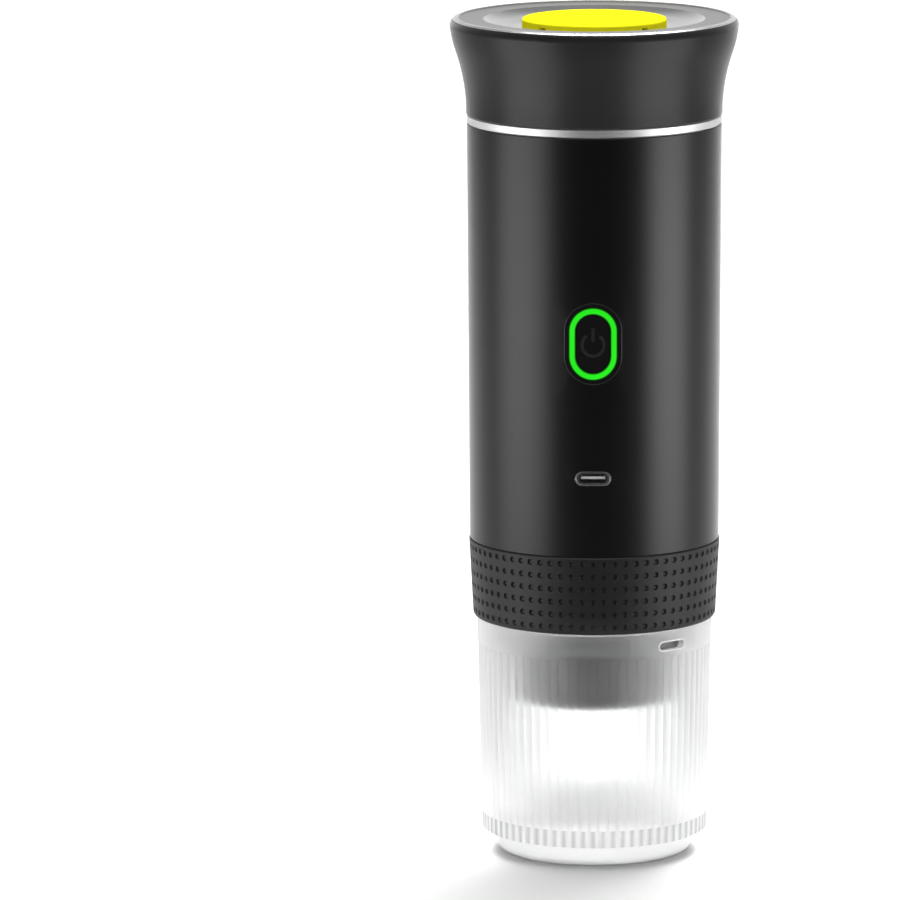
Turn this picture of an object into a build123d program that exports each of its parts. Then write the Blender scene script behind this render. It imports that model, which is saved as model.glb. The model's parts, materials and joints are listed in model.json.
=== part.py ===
"""Portable electric espresso maker: fluted cup, twist-off brew head, battery body, screw lid.

Units are millimetres. +Z points up along the axis of the maker, the floor is z = 0, the origin is
the middle of the cup's foot, and the power button faces -Y.
"""
import math
import os

from build123d import *

# Fits and cutting allowances
slip = 0.3  # between pieces that come apart by hand
seat = 0.1  # between pieces that are fixed together
running = 0.05  # radial clearance of a turning shaft
thread_gap = 1.3  # radial room for a screw thread
edge = 0.3  # chamfer on the outer edges of turned pieces
overrun = 2.0  # how far a cutter passes the face that it cuts

# Stack of the main pieces, from the floor up
cup_height = 68.0
grip_height = 22.3
trim_height = 2.5
lid_height = 27.3

# Steps between the outside radii, from the shell down to the cup's foot
body_draft = 0.6  # the shell widens by this towards its top
grip_step = 0.2
grip_taper = 1.15
cup_inset = 1.05
cup_taper = 1.3
cup_foot_inset = 4.3

# Cup
cup_wall = 2.2
cup_floor = 3.8
cup_foot_height = 6.3
cup_foot_wall = 3.2
cup_foot_round = 2.0
cup_floor_round = 4.0
cup_band = 7.6  # smooth band above the ribs
cup_rib_count = 72
cup_rib_depth = 0.45
cup_vent_length = 9.5
cup_vent_height = 2.7
cup_vent_drop = 4.6  # centre of the vent below the rim
cup_vent_angle = 42.0  # from the front towards the right

# Brew head: collar, sleeve, chamber, basket
grip_wall = 1.25  # at the sleeve's foot
grip_round = 0.8
collar_wall = 3.9
skirt_depth = 7.0
skirt_wall = 2.6
web_rise = 8.0  # underside of the web above the cup's rim
web_thickness = 3.0
web_ledge = 5.0
cup_ring_section = 0.7  # radius of the seal ring's section
cup_ring_stand = 0.15  # how far the ring stands out of the skirt
chamber_depth = 35.0
chamber_taper = 0.6
chamber_wall = 1.8
chamber_floor = 2.5
chamber_flange = 2.0
chamber_round = 2.0
outlet_radius = 2.5
basket_depth = 22.0
basket_wall = 0.6
basket_rim_width = 4.5
basket_bevel = 1.2
basket_hole_radius = 0.6
basket_ring_count = 3
basket_edge_share = 1.14  # plain edge outside the holes, in steps between rings

# Group end of the body: gasket, base plate, shower screen
group_gasket_height = 2.0
base_thickness = 3.5
base_recess_floor = 3.0
screen_margin = 1.2
screen_thickness = 0.8
screen_ledge = 1.5
screen_hole_radius = 0.5
screen_ring_count = 3
screen_edge_share = 0.6  # plain edge outside the holes, in steps between rings
plenum_height = 1.2
screen_boss_radius = 3.5
screw_head_radius = 1.8
screw_head_height = 1.1
screw_radius = 0.9
screw_length = 7.0

# Shell, neck, tank and heater
shell_wall = 1.4  # at the narrow end
neck_wall = 4.4
neck_ledge = 2.5
trim_lap = 0.6
tank_inset = 2.0
tank_wall = 0.8
tank_depth = 32.4
tank_bevel = 3.0
heater_thickness = 3.0
heater_inset = 3.0
heater_gap = 0.5
probe_width = 5.0
probe_depth = 2.4
probe_share = 0.36  # height of the probe, of the tank's free wall

# Battery pack
cell_radius = 9.2
cell_length = 65.0
cell_gap = 2.3  # between cell and shell
cell_angles = (90, 210, 330)
cell_pocket = 1.0
holder_thickness = 3.0
holder_margin = 0.4
contact_radius = 5.0
contact_thickness = 0.3
post_radius = 1.9
post_margin = 1.1
post_angles = (30, 150, 228, 312)

# Pump, motor and hoses
motor_radius = 12.0
motor_gap = 1.3
motor_bevel = 1.2
pump_floor = 2.5
pump_wall = 2.2
pump_cover_height = 3.5
gear_teeth = 12
gear_pitch_share = 0.35  # pitch radius, of the motor's radius
gear_width = 8.0
gear_backlash = 0.2
gear_pressure_angle = 25.0
gear_clearance = 0.15
shaft_radius = 1.2
shaft_reach = 2.0
hose_radius = 3.3
hose_bore = 2.3
hose_gap = 0.7
hose_bend_share = 0.42  # bend radius, of the run between the bends
hose_headroom = 3.4  # between the outlet hose's loop and the cell cap
hose_angle = 30.0
barb_radius = 2.2
barb_bore = 1.0
barb_length = 6.0
fitting_flange_radius = 4.2
fitting_flange_height = 1.0
pump_port_gap = 1.1  # between each hose and the middle plane of the pump

# Control board, button and charging socket
board_clearance = 1.95  # between the cells and the back of the board
board_thickness = 1.6
board_gap = 0.2
button_drop = 9.2  # middle of the button below the cell cap
bezel_width = 15.9
bezel_height = 22.8
bezel_lip = 1.3
light_width = 13.4
light_height = 20.3
light_line = 1.7
button_gap = 0.12
button_recess = 0.25
button_travel = 0.6
button_flange = 1.0
button_stem_radius = 1.75
button_stem_length = 1.4
switch_size = 6.0
switch_height = 2.4
switch_plunger_radius = 1.5
switch_plunger_stand = 0.9
switch_plunger_floor = 0.4
socket_rise = 16.2  # middle of the socket above the cell holder
socket_width = 8.94
socket_height = 3.26
socket_wall = 0.3
socket_recess = 0.7
socket_opening_width = 10.3
socket_opening_height = 4.1
socket_back = 1.0
tongue_width = 6.69
tongue_thickness = 0.7
tongue_setback = 0.9
led_width = 1.6
led_height = 0.8
led_depth = 1.0
chip_size = 5.0
chip_depth = 1.0
coil_size = 6.0
coil_depth = 3.0
plug_block_width = 7.5
plug_block_height = 4.0
plug_block_depth = 4.5

# Lid
lid_step = 0.2
lid_flare = 4.6
lid_wall = 2.0
lid_lip_width = 2.4
lid_lip_round = 2.5  # height of the rounded lip
lid_lip_flat = 0.2
lid_turn_shares = (0.645, 0.72)  # where the side's curve turns, of the flare and of the height
plate_drop = 0.4  # plate below the top of the lip
plate_thickness = 1.6
plate_land = 6.9
dish_slope = 7.4
dish_depth = 2.0
plate_post_radius = 2.6
plug_depth = 10.3  # liner below the lid's lower edge
liner_wall = 2.5
liner_floor = 2.5
liner_rise = 1.2
liner_flange = 3.0
lid_gasket_height = 2.0
lid_gasket_width = 1.8
lid_post_margin = 0.4
lid_screw_angles = (30, 150, 270)
vent_cap_radius = 20.4
vent_cap_stand = 0.4  # top of the cap above the plate's land
vent_cap_round = 0.6
vent_cap_crown = 0.3
vent_stem_radius = 3.0
vent_stem_reach = 4.0
vent_notch_width = 2.4
vent_notch_height = 0.9
vent_notch_depth = 5.0
vent_notch_angles = (45, 135, 225, 315)
valve_radius = 4.0
valve_thickness = 0.8
valve_stem_radius = 1.2

# Places worked out from the sizes above
head_z = cup_height
body_z = head_z + grip_height

cell_circle = motor_radius + motor_gap + cell_radius
shell_bore = cell_circle + cell_radius + cell_gap
body_base_radius = shell_bore + shell_wall
body_radius = body_base_radius + body_draft
grip_top_radius = body_base_radius + grip_step
grip_foot_radius = grip_top_radius - grip_taper
collar_radius = grip_foot_radius - grip_wall
collar_bore = collar_radius - collar_wall
cup_rim_radius = grip_foot_radius - cup_inset
cup_base_radius = cup_rim_radius - cup_taper
cup_foot_radius = cup_base_radius - cup_foot_inset

web_z = head_z + web_rise
web_top_z = web_z + web_thickness
flange_top_z = web_top_z + chamber_flange
basket_top_z = flange_top_z + basket_wall
spigot_z = basket_top_z + group_gasket_height
chamber_z = web_top_z - chamber_depth
chamber_radius = collar_bore - web_ledge - slip
chamber_bore = chamber_radius - chamber_taper - chamber_wall
basket_radius = chamber_bore - slip
basket_bore = basket_radius - basket_wall
basket_flange_radius = basket_radius + basket_rim_width
spigot_radius = collar_bore - thread_gap
screen_radius = basket_bore - screen_margin
plenum_radius = screen_radius - screen_ledge
basket_ring_pitch = basket_bore / (basket_ring_count + basket_edge_share)
screen_ring_pitch = plenum_radius / (screen_ring_count + screen_edge_share)

base_top_z = body_z + base_thickness
cradle_top_z = base_top_z + holder_thickness
cell_z = cradle_top_z - cell_pocket
cell_top_z = cell_z + cell_length + 2 * contact_thickness
cap_z = cell_top_z - cell_pocket
cap_top_z = cap_z + holder_thickness
heater_z = cap_top_z + heater_gap
tank_z = heater_z + heater_thickness
tank_top_z = tank_z + tank_depth
holder_radius = shell_bore - holder_margin
post_circle = shell_bore - post_margin - post_radius
hose_circle = motor_radius + hose_gap + hose_radius

liner_z = tank_top_z + lid_gasket_height
lid_z = liner_z + plug_depth
trim_z = lid_z - trim_height
top_z = lid_z + lid_height
neck_bore = shell_bore - neck_wall
ledge_top_z = tank_top_z - tank_wall
neck_z = ledge_top_z - neck_ledge
tank_radius = neck_bore - tank_inset

gear_pitch_radius = gear_pitch_share * motor_radius
gear_module = 2 * gear_pitch_radius / gear_teeth
gear_spacing = 2 * gear_pitch_radius
gear_tip_radius = gear_pitch_radius + gear_module
gear_pocket_radius = gear_tip_radius + gear_clearance
port_y = -gear_spacing / 2
inlet_place = (-hose_radius - pump_port_gap, port_y)
outlet_place = (hose_radius + pump_port_gap, port_y)
hose_place = (
    hose_circle * math.cos(math.radians(hose_angle)),
    hose_circle * math.sin(math.radians(hose_angle)),
)
hose_bend = hose_bend_share * math.dist(outlet_place, hose_place)
hose_top_z = cap_z - hose_headroom - hose_radius
pump_top_z = hose_top_z - hose_bend - slip - barb_length
pump_cover_z = pump_top_z - pump_cover_height
gear_z = pump_cover_z - gear_clearance - gear_width
pump_z = gear_z - pump_floor

cell_front_y = min(cell_circle * math.sin(math.radians(angle)) for angle in cell_angles) - cell_radius
board_y = cell_front_y - board_clearance - board_thickness
button_z = cap_z - button_drop
socket_z = cradle_top_z + socket_rise
plunger_y = board_y - switch_height - switch_plunger_stand
flange_y = plunger_y - button_stem_length
bezel_y = flange_y - button_flange - slip
cap_front_y = flange_y + button_travel + slip
pad_width = light_width - 2 * (light_line + button_gap)
pad_height = light_height - 2 * (light_line + button_gap)

lid_rim_radius = body_radius + lid_step + lid_flare
plate_radius = lid_rim_radius - lid_lip_width - seat
plate_top_z = top_z - plate_drop
dish_radius = plate_radius - plate_land
dish_floor_radius = dish_radius - dish_slope
dish_floor_z = plate_top_z - dish_depth
plate_under_z = dish_floor_z - plate_thickness
plug_radius = neck_bore - thread_gap
liner_bore = plug_radius - liner_wall
liner_flange_z = lid_z + liner_rise
liner_top_z = liner_flange_z + liner_flange
liner_flange_radius = body_radius + lid_step - lid_wall - seat
lid_post_circle = plug_radius + screw_head_radius + lid_post_margin

STANDING = (Align.CENTER, Align.CENTER, Align.MIN)


def disc(radius, low, high, place=(0, 0)):
    """Upright cylinder from height low to height high."""
    return Pos(*place, low) * Cylinder(radius, high - low, align=STANDING)


def ring(outer, inner, low, high, place=(0, 0)):
    """Upright tube from height low to height high."""
    bore = disc(inner, low - overrun, high + overrun, place)
    return disc(outer, low, high, place) - bore


def turned(*outline):
    """Solid turned about the axis from (radius, height) corners."""
    points = [(radius, 0, height) for radius, height in outline]
    return revolve(make_face(Polyline(*points, close=True)), Axis.Z)


def cone(low_radius, high_radius, low, high):
    """Tapered disc about the axis."""
    return turned((0, low), (low_radius, low), (high_radius, high), (0, high))


def block(width, depth, height, middle):
    """Box with its middle at a point."""
    return Pos(*middle) * Box(width, depth, height)


def pill(width, height, front, back, middle_z):
    """Prism along Y with round ends, from y = front to y = back, around x = 0."""
    plane = Plane((0, back, middle_z), x_dir=(1, 0, 0), z_dir=(0, -1, 0))
    if width >= height:
        outline = SlotOverall(width, height)
    else:
        outline = SlotOverall(height, width, rotation=90)
    return extrude(plane * outline, back - front)


def pin(radius, front, back, middle_z):
    """Round bar along Y, from y = front to y = back, around x = 0."""
    plane = Plane((0, back, middle_z), x_dir=(1, 0, 0), z_dir=(0, -1, 0))
    return extrude(plane * Circle(radius), back - front)


def around(angles, radius):
    """Places on a circle about the axis, as (x, y)."""
    return [
        (radius * math.cos(math.radians(angle)), radius * math.sin(math.radians(angle)))
        for angle in angles
    ]


def hole_rings(hole_radius, ring_pitch, ring_count, low, high):
    """Cutters for a hole in the middle and rings of 6, 12, 18 and so on around it."""
    places = [(0, 0)]
    for ring_number in range(1, ring_count + 1):
        holes = 6 * ring_number
        angles = [360 / holes * number for number in range(holes)]
        places += around(angles, ring_pitch * ring_number)
    return [disc(hole_radius, low - overrun, high + overrun, place) for place in places]


# Cup


def cup_radius_at(height):
    """Outside radius of the tapering cup wall."""
    share = (height - cup_foot_height) / (cup_height - cup_foot_height)
    return cup_base_radius + share * cup_taper


def rib_outline(height):
    """Level section of the ribbed wall: one arc per rib, from valley over crest to valley."""
    crest = cup_radius_at(height)
    valley = crest - cup_rib_depth
    pitch = 360 / cup_rib_count
    arcs = []
    for rib in range(cup_rib_count):
        start = Vector(valley, 0, height).rotate(Axis.Z, pitch * (rib - 0.5))
        middle = Vector(crest, 0, height).rotate(Axis.Z, pitch * rib)
        end = Vector(valley, 0, height).rotate(Axis.Z, pitch * (rib + 0.5))
        arcs.append(ThreePointArc(start, middle, end))
    return make_face(arcs)


def make_cup():
    """Clear cup: ribbed tapering wall, smooth band, thick floor and a foot ring."""
    band_z = cup_height - cup_band
    floor_z = cup_foot_height + cup_floor
    ribbed = loft([rib_outline(cup_foot_height), rib_outline(band_z)], ruled=True)
    band = cone(cup_radius_at(band_z), cup_rim_radius, band_z, cup_height)
    foot = disc(cup_foot_radius, 0, cup_foot_height)
    foot = fillet(foot.edges().group_by(Axis.Z)[0], cup_foot_round)
    recess = disc(cup_foot_radius - cup_foot_wall, -overrun, cup_foot_height)
    slope = cup_taper / (cup_height - cup_foot_height) * overrun
    cavity = cone(
        cup_radius_at(floor_z) - cup_wall,
        cup_rim_radius - cup_wall + slope,
        floor_z,
        cup_height + overrun,
    )
    cavity = fillet(cavity.edges().group_by(Axis.Z)[0], cup_floor_round)
    cup = ribbed + band + foot - recess - cavity
    cup = chamfer(cup.edges().group_by(Axis.Z)[-1], edge)
    vent = pill(
        cup_vent_length,
        cup_vent_height,
        -cup_rim_radius - overrun,
        cup_wall + overrun - cup_rim_radius,
        cup_height - cup_vent_drop,
    )
    return cup - Rot(0, 0, cup_vent_angle) * vent


# Brew head


def skirt_radius():
    """Outside of the skirt that plugs into the cup's mouth."""
    return cup_radius_at(head_z - skirt_depth) - cup_wall - slip


def make_head_collar():
    """Ring under the sleeve: bore for the body's spigot, web for the chamber, skirt for the cup."""
    outside = skirt_radius()
    inside = outside - skirt_wall
    low = head_z - skirt_depth
    opening = chamber_radius + slip
    collar = turned(
        (inside, low),
        (outside, low),
        (outside, head_z),
        (collar_radius, head_z),
        (collar_radius, body_z),
        (collar_bore, body_z),
        (collar_bore, web_top_z),
        (opening, web_top_z),
        (opening, web_z),
        (inside, web_z),
    )
    middle = head_z - skirt_depth / 2
    half = cup_ring_section + seat
    groove = ring(outside + overrun, cup_ring_middle() - half, middle - half, middle + half)
    return collar - groove


def cup_ring_middle():
    """Radius of the middle of the seal ring's section."""
    return skirt_radius() + cup_ring_stand - cup_ring_section


def make_cup_seal_ring():
    """Round-section ring that steadies the skirt in the cup's mouth."""
    return Pos(0, 0, head_z - skirt_depth / 2) * Torus(cup_ring_middle(), cup_ring_section)


def make_grip_sleeve():
    """Soft sleeve around the collar, tapering towards the cup."""
    sleeve = cone(grip_foot_radius, grip_top_radius, head_z, body_z)
    sleeve = fillet(sleeve.edges().group_by(Axis.Z)[0], grip_round)
    sleeve = chamfer(sleeve.edges().group_by(Axis.Z)[-1], edge)
    return sleeve - disc(collar_radius + seat, head_z - overrun, body_z + overrun)


def make_brew_chamber():
    """Cup-shaped chamber that hangs by its flange from the collar's web."""
    low_radius = chamber_radius - chamber_taper
    wall = cone(low_radius, chamber_radius, chamber_z, web_top_z)
    wall = fillet(wall.edges().group_by(Axis.Z)[0], chamber_round)
    flange = disc(collar_bore - seat, web_top_z, flange_top_z)
    bore = disc(chamber_bore, chamber_z + chamber_floor, flange_top_z + overrun)
    outlet = disc(outlet_radius, chamber_z - overrun, chamber_z + chamber_floor + overrun)
    return wall + flange - bore - outlet


def make_filter_basket():
    """Thin pressed basket with a rim and a perforated floor."""
    low = basket_top_z - basket_depth
    body = disc(basket_radius, low, flange_top_z)
    body = chamfer(body.edges().group_by(Axis.Z)[0], basket_bevel)
    rim = disc(basket_flange_radius, flange_top_z, basket_top_z)
    bore = disc(basket_bore, low + basket_wall, basket_top_z + overrun)
    bore = chamfer(bore.edges().group_by(Axis.Z)[0], basket_bevel - basket_wall / 2)
    holes = hole_rings(
        basket_hole_radius, basket_ring_pitch, basket_ring_count, low, low + basket_wall
    )
    return body + rim - bore - holes


def make_group_gasket():
    """Flat seal between the basket's rim and the body's spigot."""
    return ring(basket_flange_radius, basket_bore, basket_top_z, spigot_z)


# Group end of the body


def make_base_plate():
    """Closes the shell's lower end and carries the spigot, the plenum and the water inlet."""
    plate = disc(shell_bore - seat, body_z, base_top_z)
    spigot = disc(spigot_radius, spigot_z, body_z)
    recess_z = spigot_z + screen_thickness + plenum_height + base_recess_floor
    recess = ring(
        hose_circle + barb_radius + overrun,
        screen_boss_radius,
        recess_z,
        base_top_z + overrun,
    )
    boss_z = spigot_z + screen_thickness
    screen_seat = disc(screen_radius + seat, spigot_z - overrun, boss_z)
    plenum = ring(plenum_radius, screen_boss_radius, boss_z, boss_z + plenum_height)
    barb = disc(barb_radius, recess_z, cradle_top_z + barb_length, hose_place)
    channel = disc(barb_bore, boss_z, cradle_top_z + barb_length + overrun, hose_place)
    pilot = disc(screw_radius, boss_z - overrun, boss_z + screw_length)
    plate = plate + spigot - recess - screen_seat - plenum + barb - channel - pilot
    for place in around(post_angles, post_circle):
        plate -= disc(screw_head_radius + seat, body_z - overrun, body_z + screw_head_height, place)
        plate -= disc(screw_radius + seat, body_z, base_top_z + overrun, place)
    return plate


def make_shower_screen():
    """Perforated disc that spreads the water over the coffee."""
    top = spigot_z + screen_thickness
    screen = disc(screen_radius, spigot_z, top)
    return screen - hole_rings(
        screen_hole_radius, screen_ring_pitch, screen_ring_count, spigot_z, top
    )[1:] - disc(screw_radius + seat, spigot_z - overrun, top + overrun)


def screw(head_low, length):
    """Round-headed screw with its head at the bottom, pointing up."""
    head = disc(screw_head_radius, head_low, head_low + screw_head_height)
    head = chamfer(head.edges().group_by(Axis.Z)[0], screw_head_height / 2)
    shank_low = head_low + screw_head_height
    return head + disc(screw_radius, shank_low, shank_low + length)


def make_screen_screw():
    """Holds the shower screen to the base plate's boss."""
    return screw(spigot_z - screw_head_height, screw_length)


def make_base_screws():
    """Hold the base plate to the battery cradle's posts."""
    return [Pos(*place, 0) * screw(body_z, screw_length) for place in around(post_angles, post_circle)]


# Shell, neck, tank and heater


def shell_skin(inset):
    """Solid bounded by the shell's tapering outside, or by a surface that far inside it."""
    return cone(body_base_radius - inset, body_radius - inset, body_z, trim_z)


def make_body_shell():
    """Tapering tube with openings for the button and the charging socket."""
    shell = shell_skin(0)
    shell = chamfer(shell.edges().filter_by(GeomType.CIRCLE), edge)
    shell -= disc(shell_bore, body_z - overrun, trim_z + overrun)
    front = -body_radius - overrun
    back = bezel_y
    button = pill(bezel_width + 2 * seat, bezel_height + 2 * seat, front, back, button_z)
    socket = pill(socket_opening_width, socket_opening_height, front, back, socket_z)
    return shell - button - socket


def make_trim_ring():
    """Bright ring between the shell and the lid."""
    band = disc(body_radius, trim_z, lid_z)
    band = chamfer(band.edges().filter_by(GeomType.CIRCLE), edge)
    return band - disc(shell_bore - trim_lap + seat, trim_z - overrun, lid_z + overrun)


def make_tank_neck():
    """Ring in the shell's top that takes the lid's thread and carries the tank by its rim."""
    neck = disc(shell_bore - seat, neck_z, trim_z) + disc(shell_bore - trim_lap, trim_z, lid_z)
    neck -= disc(neck_bore, ledge_top_z, lid_z + overrun)
    return neck - disc(tank_radius + slip, neck_z - overrun, ledge_top_z + overrun)


def make_water_tank():
    """Deep-drawn steel tank with a rim that rests on the neck's ledge."""
    body = disc(tank_radius, tank_z, ledge_top_z)
    body = chamfer(body.edges().group_by(Axis.Z)[0], tank_bevel)
    rim = disc(neck_bore - seat, ledge_top_z, tank_top_z)
    bore = disc(tank_radius - tank_wall, tank_z + tank_wall, tank_top_z + overrun)
    bore = chamfer(bore.edges().group_by(Axis.Z)[0], tank_bevel - tank_wall / 2)
    outlet = disc(barb_radius + seat, tank_z - overrun, tank_z + tank_wall + overrun, inlet_place)
    return body + rim - bore - outlet


def make_heater_plate():
    """Disc heater against the tank's floor, with a hole for the tank's outlet."""
    plate = disc(tank_radius - tank_bevel - heater_inset, heater_z, tank_z)
    return plate - disc(hose_radius, heater_z - overrun, tank_z + overrun, inlet_place)


def make_temperature_probe():
    """Probe pressed to the tank's wall at the back."""
    middle_y = tank_radius + seat + probe_depth / 2
    wall_low = tank_z + tank_bevel
    height = probe_share * (neck_z - wall_low)
    return block(probe_width, probe_depth, height, (0, middle_y, (wall_low + neck_z) / 2))


def make_tank_fitting():
    """Flanged outlet in the tank's floor, above the pump's inlet."""
    floor_top = tank_z + tank_wall
    fitting = disc(barb_radius, pump_top_z + barb_length + slip, floor_top, inlet_place)
    fitting += disc(
        fitting_flange_radius, floor_top, floor_top + fitting_flange_height, inlet_place
    )
    flange_top = floor_top + fitting_flange_height
    return fitting - disc(barb_bore, pump_top_z, flange_top + overrun, inlet_place)


# Battery pack


def make_battery_cells():
    """Three round cells, each with a bevelled shoulder at the top."""
    cells = []
    for place in around(cell_angles, cell_circle):
        low = cell_z + contact_thickness
        high = cell_top_z - contact_thickness
        cell = disc(cell_radius, low, high, place)
        cells.append(chamfer(cell.edges().group_by(Axis.Z)[-1], cell_pocket))
    return cells


def make_cell_contacts():
    """Nickel contact discs at both ends of each cell."""
    contacts = []
    for place in around(cell_angles, cell_circle):
        contacts.append(disc(contact_radius, cell_z, cell_z + contact_thickness, place))
        contacts.append(disc(contact_radius, cell_top_z - contact_thickness, cell_top_z, place))
    return contacts


def make_battery_cradle():
    """Lower holder with cell pockets and the posts that the cap is screwed to."""
    cradle = disc(holder_radius, base_top_z, cradle_top_z)
    for place in around(cell_angles, cell_circle):
        cradle -= disc(cell_radius + seat, cell_z, cradle_top_z + overrun, place)
    for place in around(post_angles, post_circle):
        cradle += disc(post_radius, cradle_top_z, cap_z, place)
        cradle -= disc(screw_radius + seat, base_top_z - overrun, base_top_z + screw_length, place)
        cradle -= disc(screw_radius + seat, cap_z - screw_length, cap_z + overrun, place)
    return cradle - disc(barb_radius + slip, base_top_z - overrun, cradle_top_z + overrun, hose_place)


def make_cell_cap():
    """Upper holder, open in the middle for the inlet hose and cut back behind the button."""
    opening = math.hypot(*inlet_place) + hose_radius + slip
    cap = ring(holder_radius, opening, cap_z, cap_top_z)
    for place in around(cell_angles, cell_circle):
        cap -= disc(cell_radius + seat, cap_z - overrun, cell_top_z, place)
    for place in around(post_angles, post_circle):
        cap -= disc(screw_radius + seat, cap_z - overrun, cap_top_z + overrun, place)
        head_low = cap_top_z - screw_head_height
        cap -= disc(screw_head_radius + seat, head_low, cap_top_z + overrun, place)
    middle = (0, cap_front_y - shell_bore / 2, (cap_z + cap_top_z) / 2)
    return cap - block(2 * shell_bore, shell_bore, holder_thickness + overrun, middle)


def make_cradle_screws():
    """Hold the cap to the cradle's posts, heads up."""
    upright = screw(0, screw_length)
    turned_over = Rot(180, 0, 0) * upright
    return [Pos(*place, cap_top_z) * turned_over for place in around(post_angles, post_circle)]


# Pump, motor and hoses


def gear_outline(turn):
    """Involute spur gear section about the origin, with a tooth at the given angle."""
    base_radius = gear_pitch_radius * math.cos(math.radians(gear_pressure_angle))
    root_radius = gear_pitch_radius - gear_module - gear_clearance
    half_pitch = math.pi / (2 * gear_teeth) - gear_backlash / (2 * gear_pitch_radius)

    def involute(radius):
        roll = math.acos(min(1.0, base_radius / radius))
        return math.tan(roll) - roll

    def half_angle(radius):
        return half_pitch + involute(gear_pitch_radius) - involute(max(radius, base_radius))

    flank = [root_radius, max(base_radius, root_radius), gear_pitch_radius, gear_tip_radius]
    points = []
    for tooth in range(gear_teeth):
        middle = math.radians(turn) + 2 * math.pi * tooth / gear_teeth
        for radius in flank:
            angle = middle - half_angle(radius)
            points.append((radius * math.cos(angle), radius * math.sin(angle)))
        for radius in reversed(flank):
            angle = middle + half_angle(radius)
            points.append((radius * math.cos(angle), radius * math.sin(angle)))
    return make_face(Polyline(*points, close=True))


def gear(place, turn):
    """Pump gear on its place, above the pump's floor."""
    outline = Pos(*place, gear_z + gear_clearance / 2) * gear_outline(turn)
    return extrude(outline, gear_width)


def make_drive_gear():
    """Gear on the motor's shaft."""
    return gear((0, 0), -90) + disc(shaft_radius, pump_z - shaft_reach, pump_cover_z + shaft_reach)


def make_idler_gear():
    """Gear that meshes with the drive gear, on its own shaft."""
    place = (0, -gear_spacing)
    half_tooth = 180 / gear_teeth
    shaft = disc(shaft_radius, gear_z - shaft_reach, pump_cover_z + shaft_reach, place)
    return gear(place, 90 + half_tooth) + shaft


def make_pump_motor():
    """Motor can under the pump, with the shaft's bore in its top."""
    can = disc(motor_radius, cradle_top_z, pump_z)
    can = chamfer(can.edges().group_by(Axis.Z)[-1], motor_bevel)
    return can - disc(shaft_radius + running, pump_z - shaft_reach - seat, pump_z + overrun)


def pump_outline(low, high):
    """Outside of the pump: a round body with a lobe for the idler gear."""
    lobe = disc(gear_pocket_radius + pump_wall, low, high, (0, -gear_spacing))
    return disc(motor_radius, low, high) + lobe


def make_pump_housing():
    """Pump body with the two gear pockets open at the top."""
    housing = pump_outline(pump_z, pump_cover_z)
    for place in ((0, 0), (0, -gear_spacing)):
        housing -= disc(gear_pocket_radius, gear_z, pump_cover_z + overrun, place)
    for place in (inlet_place, outlet_place):
        housing -= disc(barb_bore, gear_z, pump_cover_z + overrun, place)
    housing -= disc(shaft_radius + running, pump_z - overrun, gear_z + overrun)
    idler_low = gear_z - shaft_reach - seat
    return housing - disc(shaft_radius + running, idler_low, gear_z + overrun, (0, -gear_spacing))


def make_pump_cover():
    """Cover with the inlet and outlet barbs and a bearing for each gear's shaft."""
    cover = pump_outline(pump_cover_z, pump_top_z)
    for place in ((0, 0), (0, -gear_spacing)):
        high = pump_cover_z + shaft_reach + seat
        cover -= disc(shaft_radius + running, pump_cover_z - overrun, high, place)
    for place in (inlet_place, outlet_place):
        cover += disc(barb_radius, pump_top_z, pump_top_z + barb_length, place)
        high = pump_top_z + barb_length + overrun
        cover -= disc(barb_bore, pump_cover_z - overrun, high, place)
    return cover


def make_inlet_hose():
    """Straight hose from the tank's outlet down to the pump's inlet."""
    low = pump_top_z + seat
    high = heater_z - heater_gap
    return ring(hose_radius, hose_bore, low, high, inlet_place)


def make_outlet_hose():
    """Hose from the pump's outlet, over and down between the cells, to the base plate."""
    low = pump_top_z + seat
    points = [
        (*outlet_place, low),
        (*outlet_place, hose_top_z),
        (*hose_place, hose_top_z),
        (*hose_place, cradle_top_z + seat),
    ]
    path = FilletPolyline(*points, radius=hose_bend)
    start = Plane((*outlet_place, low), z_dir=(0, 0, 1))
    return sweep(start * Circle(hose_radius), path) - sweep(start * Circle(hose_bore), path)


# Control board, button and charging socket


def make_control_board():
    """Board that stands behind the button, between the holder's plates."""
    half = post_circle * math.cos(math.radians(post_angles[-1])) - post_radius - slip
    low = cradle_top_z + board_gap
    high = cap_z - board_gap
    middle = (0, board_y + board_thickness / 2, (low + high) / 2)
    return block(2 * half, board_thickness, high - low, middle)


def on_board(width, height, depth, x, z):
    """Box on the board's front face."""
    return block(width, depth, height, (x, board_y - depth / 2, z))


def make_board_components():
    """Lamps behind the light ring, and the chip, coil and plug blocks of the power supply."""
    lamp_x = (light_width - light_line) / 2
    lamp_z = (light_height - light_width) / 2
    parts = []
    for side in (-1, 1):
        for level in (-1, 1):
            x, z = side * lamp_x, button_z + level * lamp_z
            parts.append(on_board(led_width, led_height, led_depth, x, z))
    between = (button_z + socket_z) / 2
    parts.append(on_board(coil_size, coil_size, coil_depth, -chip_size - coil_size / 2, between))
    parts.append(on_board(chip_size, chip_size, chip_depth, chip_size, between))
    low = cradle_top_z + plug_block_height
    for side in (-1, 1):
        x = side * plug_block_width
        parts.append(on_board(plug_block_width, plug_block_height, plug_block_depth, x, low))
    return parts


def make_button_bezel():
    """Frame around the light ring, with a lip behind the shell."""
    skin = shell_skin(seat)
    frame = pill(bezel_width, bezel_height, -body_radius - overrun, bezel_y, button_z) & skin
    lip_width, lip_height = bezel_width + 2 * bezel_lip, bezel_height + 2 * bezel_lip
    behind = disc(shell_bore - seat, body_z, trim_z)
    lip = pill(lip_width, lip_height, -body_radius, bezel_y, button_z) & behind
    opening = pill(
        light_width + 2 * seat,
        light_height + 2 * seat,
        -body_radius - overrun,
        bezel_y + overrun,
        button_z,
    )
    return frame + lip - opening


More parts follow.
